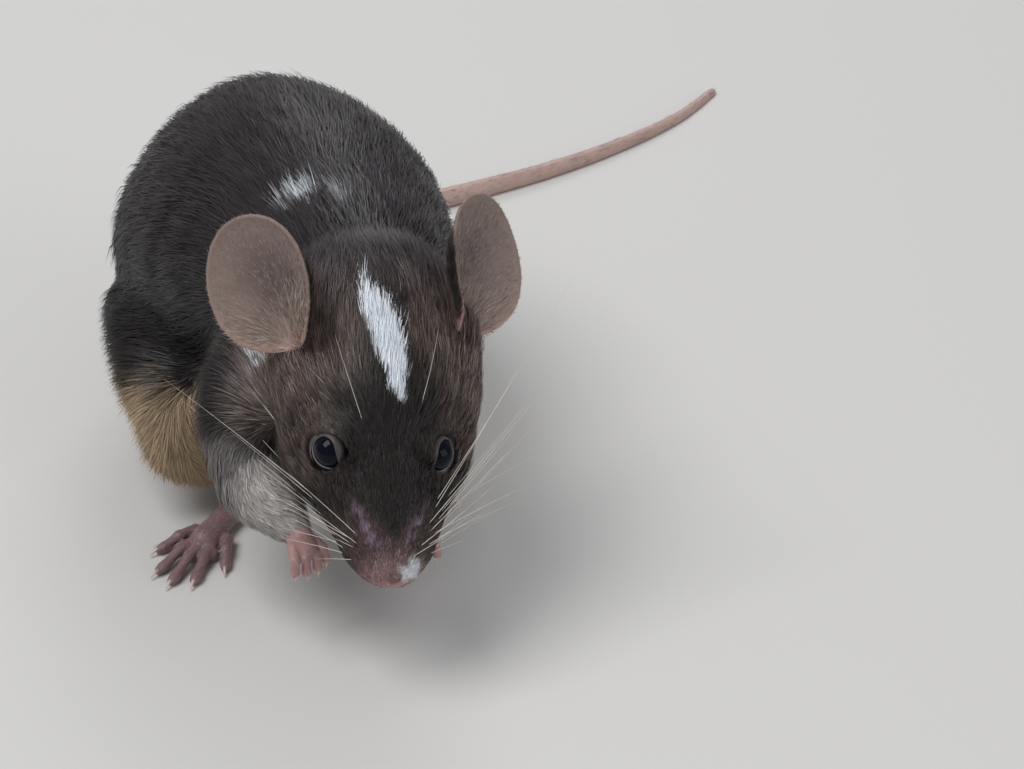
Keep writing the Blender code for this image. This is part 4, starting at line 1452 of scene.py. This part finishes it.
def ear_hair(ear, side, mirror):
    """Fine hair fanning out from the ear's root, longer at its front edge and dark on its back."""
    root, length_way, width_way, _ = ear_frame(side, mirror)
    origin = head_to_figure(root + length_way * 0.5 - width_way * 0.5)

    def dark_edge(spots, ways):
        along, across = leaf_place(spots, side, mirror)
        return (1 - in_hollow(ways, side, mirror)) * ease(across, -1.0, -3.4) * ease(along, 10.5, 6.5)

    def density(spots, normals):
        along, _ = leaf_place(spots, side, mirror)
        return 20 + 16 * in_hollow(normals, side, mirror) * ease(along, 7, 3) + 50 * dark_edge(spots, normals)

    def length(roots, ways):
        along, across = leaf_place(roots, side, mirror)
        reach = np.hypot(across / EAR_HALF_WIDTH, 2 * along / EAR_LENGTH - 1)
        front = ease(across, 1.0, -2.5) * ease(along, 8.5, 4.0)
        edge = 1.7 * dark_edge(roots, ways)
        within = in_hollow(ways, side, mirror) * ease(reach, 1.0, 0.75)
        fan = 0.9 * within * np.maximum(ease(along, 5.0, 2.5), 0.9 * front)
        return 0.40 + 0.25 * ease(reach, 1.0, 0.8) + fan + edge

    def lie(roots, ways):
        return in_tangent(unit(roots - origin) + 0.25 * (TURN @ width_way), ways)

    def marks(roots, ways):
        along, across = leaf_place(roots, side, mirror)
        light = in_hollow(ways, side, mirror)
        front = ease(across, 0.5, -2.5) * ease(along, 9.0, 5.0)
        root_fur = ease(along, 6.0, 2.5)
        dark = dark_edge(roots, ways)
        pale = 0.12 + light * (0.34 + 0.26 * np.maximum(front, root_fur))
        return thin_marks(pale=pale * (1 - dark), grey=0.6, muzzle=0.2 * (1 - dark), light=0.9 - 0.6 * dark,
                          cool=0.2)

    rng = np.random.default_rng(50 + mirror)
    thin_hair(ear, f"ear_hair_{side}", density, length, lie, marks, "ear_skin", rng)


def foot_hair(obj, name, way):
    """Short pale hair on the top of a foot, lying towards the toes."""
    def density(spots, normals):
        return 9.0 * ease(normals[:, 2], -0.1, 0.4)

    def length(roots, ways):
        return 0.8 * np.ones(len(roots))

    def lie(roots, ways):
        return in_tangent(np.tile(np.array(way, float), (len(roots), 1)), ways)

    def marks(roots, ways):
        return thin_marks(pale=0.75, grey=0.8, light=0.5, cool=0.5)

    thin_hair(obj, name, density, length, lie, marks, "pale_coat", np.random.default_rng(len(name)), 0.04)


def tail_hair(tail):
    """Sparse stiff hair along the tail, lying towards its tip."""
    route, steps = TAIL_ROUTE, np.gradient(TAIL_ROUTE, axis=0)

    def density(spots, normals):
        return 3.5 * ease(normals[:, 2], -0.6, 0.0)

    def length(roots, ways):
        return 1.0 * np.ones(len(roots))

    def lie(roots, ways):
        nearest = np.linalg.norm(roots[:, None] - route[None], axis=2).argmin(axis=1)
        return in_tangent(unit(steps[nearest]), ways)

    def marks(roots, ways):
        return thin_marks(pale=0.35, grey=0.7, muzzle=0.2, light=0.8, cool=0.3)

    thin_hair(tail, "tail_hair", density, length, lie, marks, "dark_coat", np.random.default_rng(90), 0.035)


# ---------------------------------------------------------------- whiskers

WHISKER_ROWS = (3.1, 2.2, 1.2, 0.1)                    # heights in the head's frame
WHISKER_REACH = (5.0, 9.0, 14.0, 20.0, 26.0, 29.0)     # from the front of a row to its back
WHISKER_RADII = (0.030, 0.006)                         # added at the root, and at the tip
WHISKER_STEPS = 12
BROW_WHISKERS = ((13.6, 11.0, (0.30, 0.35, 0.80)), (14.6, 8.0, (0.45, 0.45, 0.75)))
# The middle whisker's direction in the figure's frame.
WHISKER_SWEEP = {"right": (-0.46, 0.85, 0.23), "left": (0.80, 0.42, 0.28)}


def make_whiskers(side, mirror, body_tree):
    """Rows of whiskers from the pad, and a few over the eye."""
    rng = np.random.default_rng(70 + mirror)
    bm = bmesh.new()
    sweep = np.array(WHISKER_SWEEP[side])
    starts = []
    for row, up in enumerate(WHISKER_ROWS):
        for index, reach in enumerate(WHISKER_REACH[row % 2:]):
            forward = np.array((mirror * 0.22, -0.22, 0)) * (2.5 - index) / 2.5
            aim = sweep + np.array((0, -0.10, 0.17)) * (1.2 - row) + forward
            back = 2.6 + (index + row % 2) * 0.95 + row * 0.15 + rng.normal(0, 0.15)
            start = (mirror * 6.0, back, up + rng.normal(0, 0.12))
            starts.append((start, reach * rng.uniform(0.7, 1.08), aim))
    for back, reach, aim in BROW_WHISKERS:
        starts.append(((mirror * 8.0, back, 8.5), reach, np.array(aim) * (mirror, 1, 1)))
    for (out, back, up), length, aim in starts:
        start = head_to_figure((out, back, up))
        inner = head_to_figure((0.0, back, up * 0.6))
        hit, _, _, _ = body_tree.ray_cast(Vector(to_row(start)), Vector(unit(inner - start)), 0.02)
        if hit is None:
            continue
        root = to_figure(np.array(hit)) - unit(start - inner) * 0.2
        way = unit(aim + rng.normal(0, 0.09, 3))
        curve = np.array((0, 0.12, -0.16)) + np.array((mirror * -0.06, 0, 0))
        joints = []
        for step in range(WHISKER_STEPS + 1):
            share = step / WHISKER_STEPS
            spot = root + way * length * share + curve * length * share ** 2
            spot[2] = max(spot[2], 0.4)
            joints.append((*spot, WHISKER_RADII[0] * (1 - share) ** 0.7 + WHISKER_RADII[1]))
        rod(bm, joints, 5)
    whiskers = shade_smooth(closed_object(bm, f"whiskers_{side}"))
    return finished(whiskers, WHISKER, "pale_coat")


# ---------------------------------------------------------------- stage

FLOOR_GREY = (0.70, 0.69, 0.67)
DAYLIGHT = (0.92, 0.94, 1.0)
DAYLIGHT_STRENGTH = 0.30
# Name, place from the figure's middle in metres, size and power.
LAMPS = (("key", (-0.28, -0.05, 0.55), 0.35, 2.3),
         ("back", (0.25, 0.55, 0.40), 0.30, 1.15),
         ("fill", (0.40, -0.50, 0.25), 0.45, 0.95))


def make_stage():
    """A pale floor and soft studio lights."""
    bm = bmesh.new()
    bmesh.ops.create_grid(bm, x_segments=1, y_segments=1, size=1.5)
    floor = object_from(bm, "floor")
    floor.data.materials.append(plain_material("floor", FLOOR_GREY, 0.75))
    world = bpy.data.worlds.new("studio")
    bpy.context.scene.world = world
    world.use_nodes = True
    sky = world.node_tree.nodes["Background"]
    sky.inputs["Color"].default_value = (*DAYLIGHT, 1.0)
    sky.inputs["Strength"].default_value = DAYLIGHT_STRENGTH
    centre = Vector(to_row((0, -5, 18)))
    for name, place, size, power in LAMPS:
        lamp = bpy.data.lights.new(name, "AREA")
        lamp.shape = "SQUARE"
        lamp.size = size
        lamp.energy = power
        light = new_object(name, lamp)
        light.location = centre + Vector(place)
        light.rotation_mode = "QUATERNION"
        light.rotation_quaternion = (-Vector(place)).to_track_quat("-Z", "Y")
    bpy.context.scene.view_settings.view_transform = "Standard"


CAMERA_AZIMUTH, CAMERA_RISE = math.radians(-18), math.radians(33)
CAMERA_DISTANCE = 290.0
LENS, SENSOR = 110.0, 36.0
NOSE_ACROSS, NOSE_DOWN = -0.1162, 0.2026      # the nose from the frame's middle, in frame widths


def make_camera():
    camera = new_object("camera", bpy.data.cameras.new("camera"))
    back = Vector((math.sin(CAMERA_AZIMUTH) * math.cos(CAMERA_RISE),
                   -math.cos(CAMERA_AZIMUTH) * math.cos(CAMERA_RISE), math.sin(CAMERA_RISE)))
    right = Vector((math.cos(CAMERA_AZIMUTH), math.sin(CAMERA_AZIMUTH), 0))
    up = back.cross(right)
    span = CAMERA_DISTANCE * SENSOR / LENS
    spot = Vector(NOSE) + back * CAMERA_DISTANCE - right * NOSE_ACROSS * span + up * NOSE_DOWN * span
    turn = Matrix((right, up, back)).transposed()
    camera.matrix_world = Matrix.Translation(Vector(to_row(spot))) @ turn.to_4x4()
    camera.data.lens = LENS
    camera.data.sensor_width = SENSOR
    camera.data.clip_start = 0.01
    bpy.context.scene.camera = camera


def surface_tree(obj):
    bm = bmesh.new()
    bm.from_mesh(obj.data)
    tree = BVHTree.FromBMesh(bm)
    bm.free()
    return tree


make_stage()
make_camera()
skin = make_skin()
make_coat(skin)
finish_skin(skin)
skin_tree = surface_tree(skin)
for which, sign in SIDES:
    make_eye(which, sign)
    ear_hair(make_ear(which, sign), which, sign)
    heel, toes = HIND_FOOT[which]
    foot_hair(make_hind_foot(which, sign), f"foot_hair_{which}", (*np.subtract(toes, heel), 0.0))
    foot_hair(make_forepaw(which, sign), f"paw_hair_{which}", FOREPAW_REACH[which])
    make_whiskers(which, sign, skin_tree)
tail_hair(make_tail())
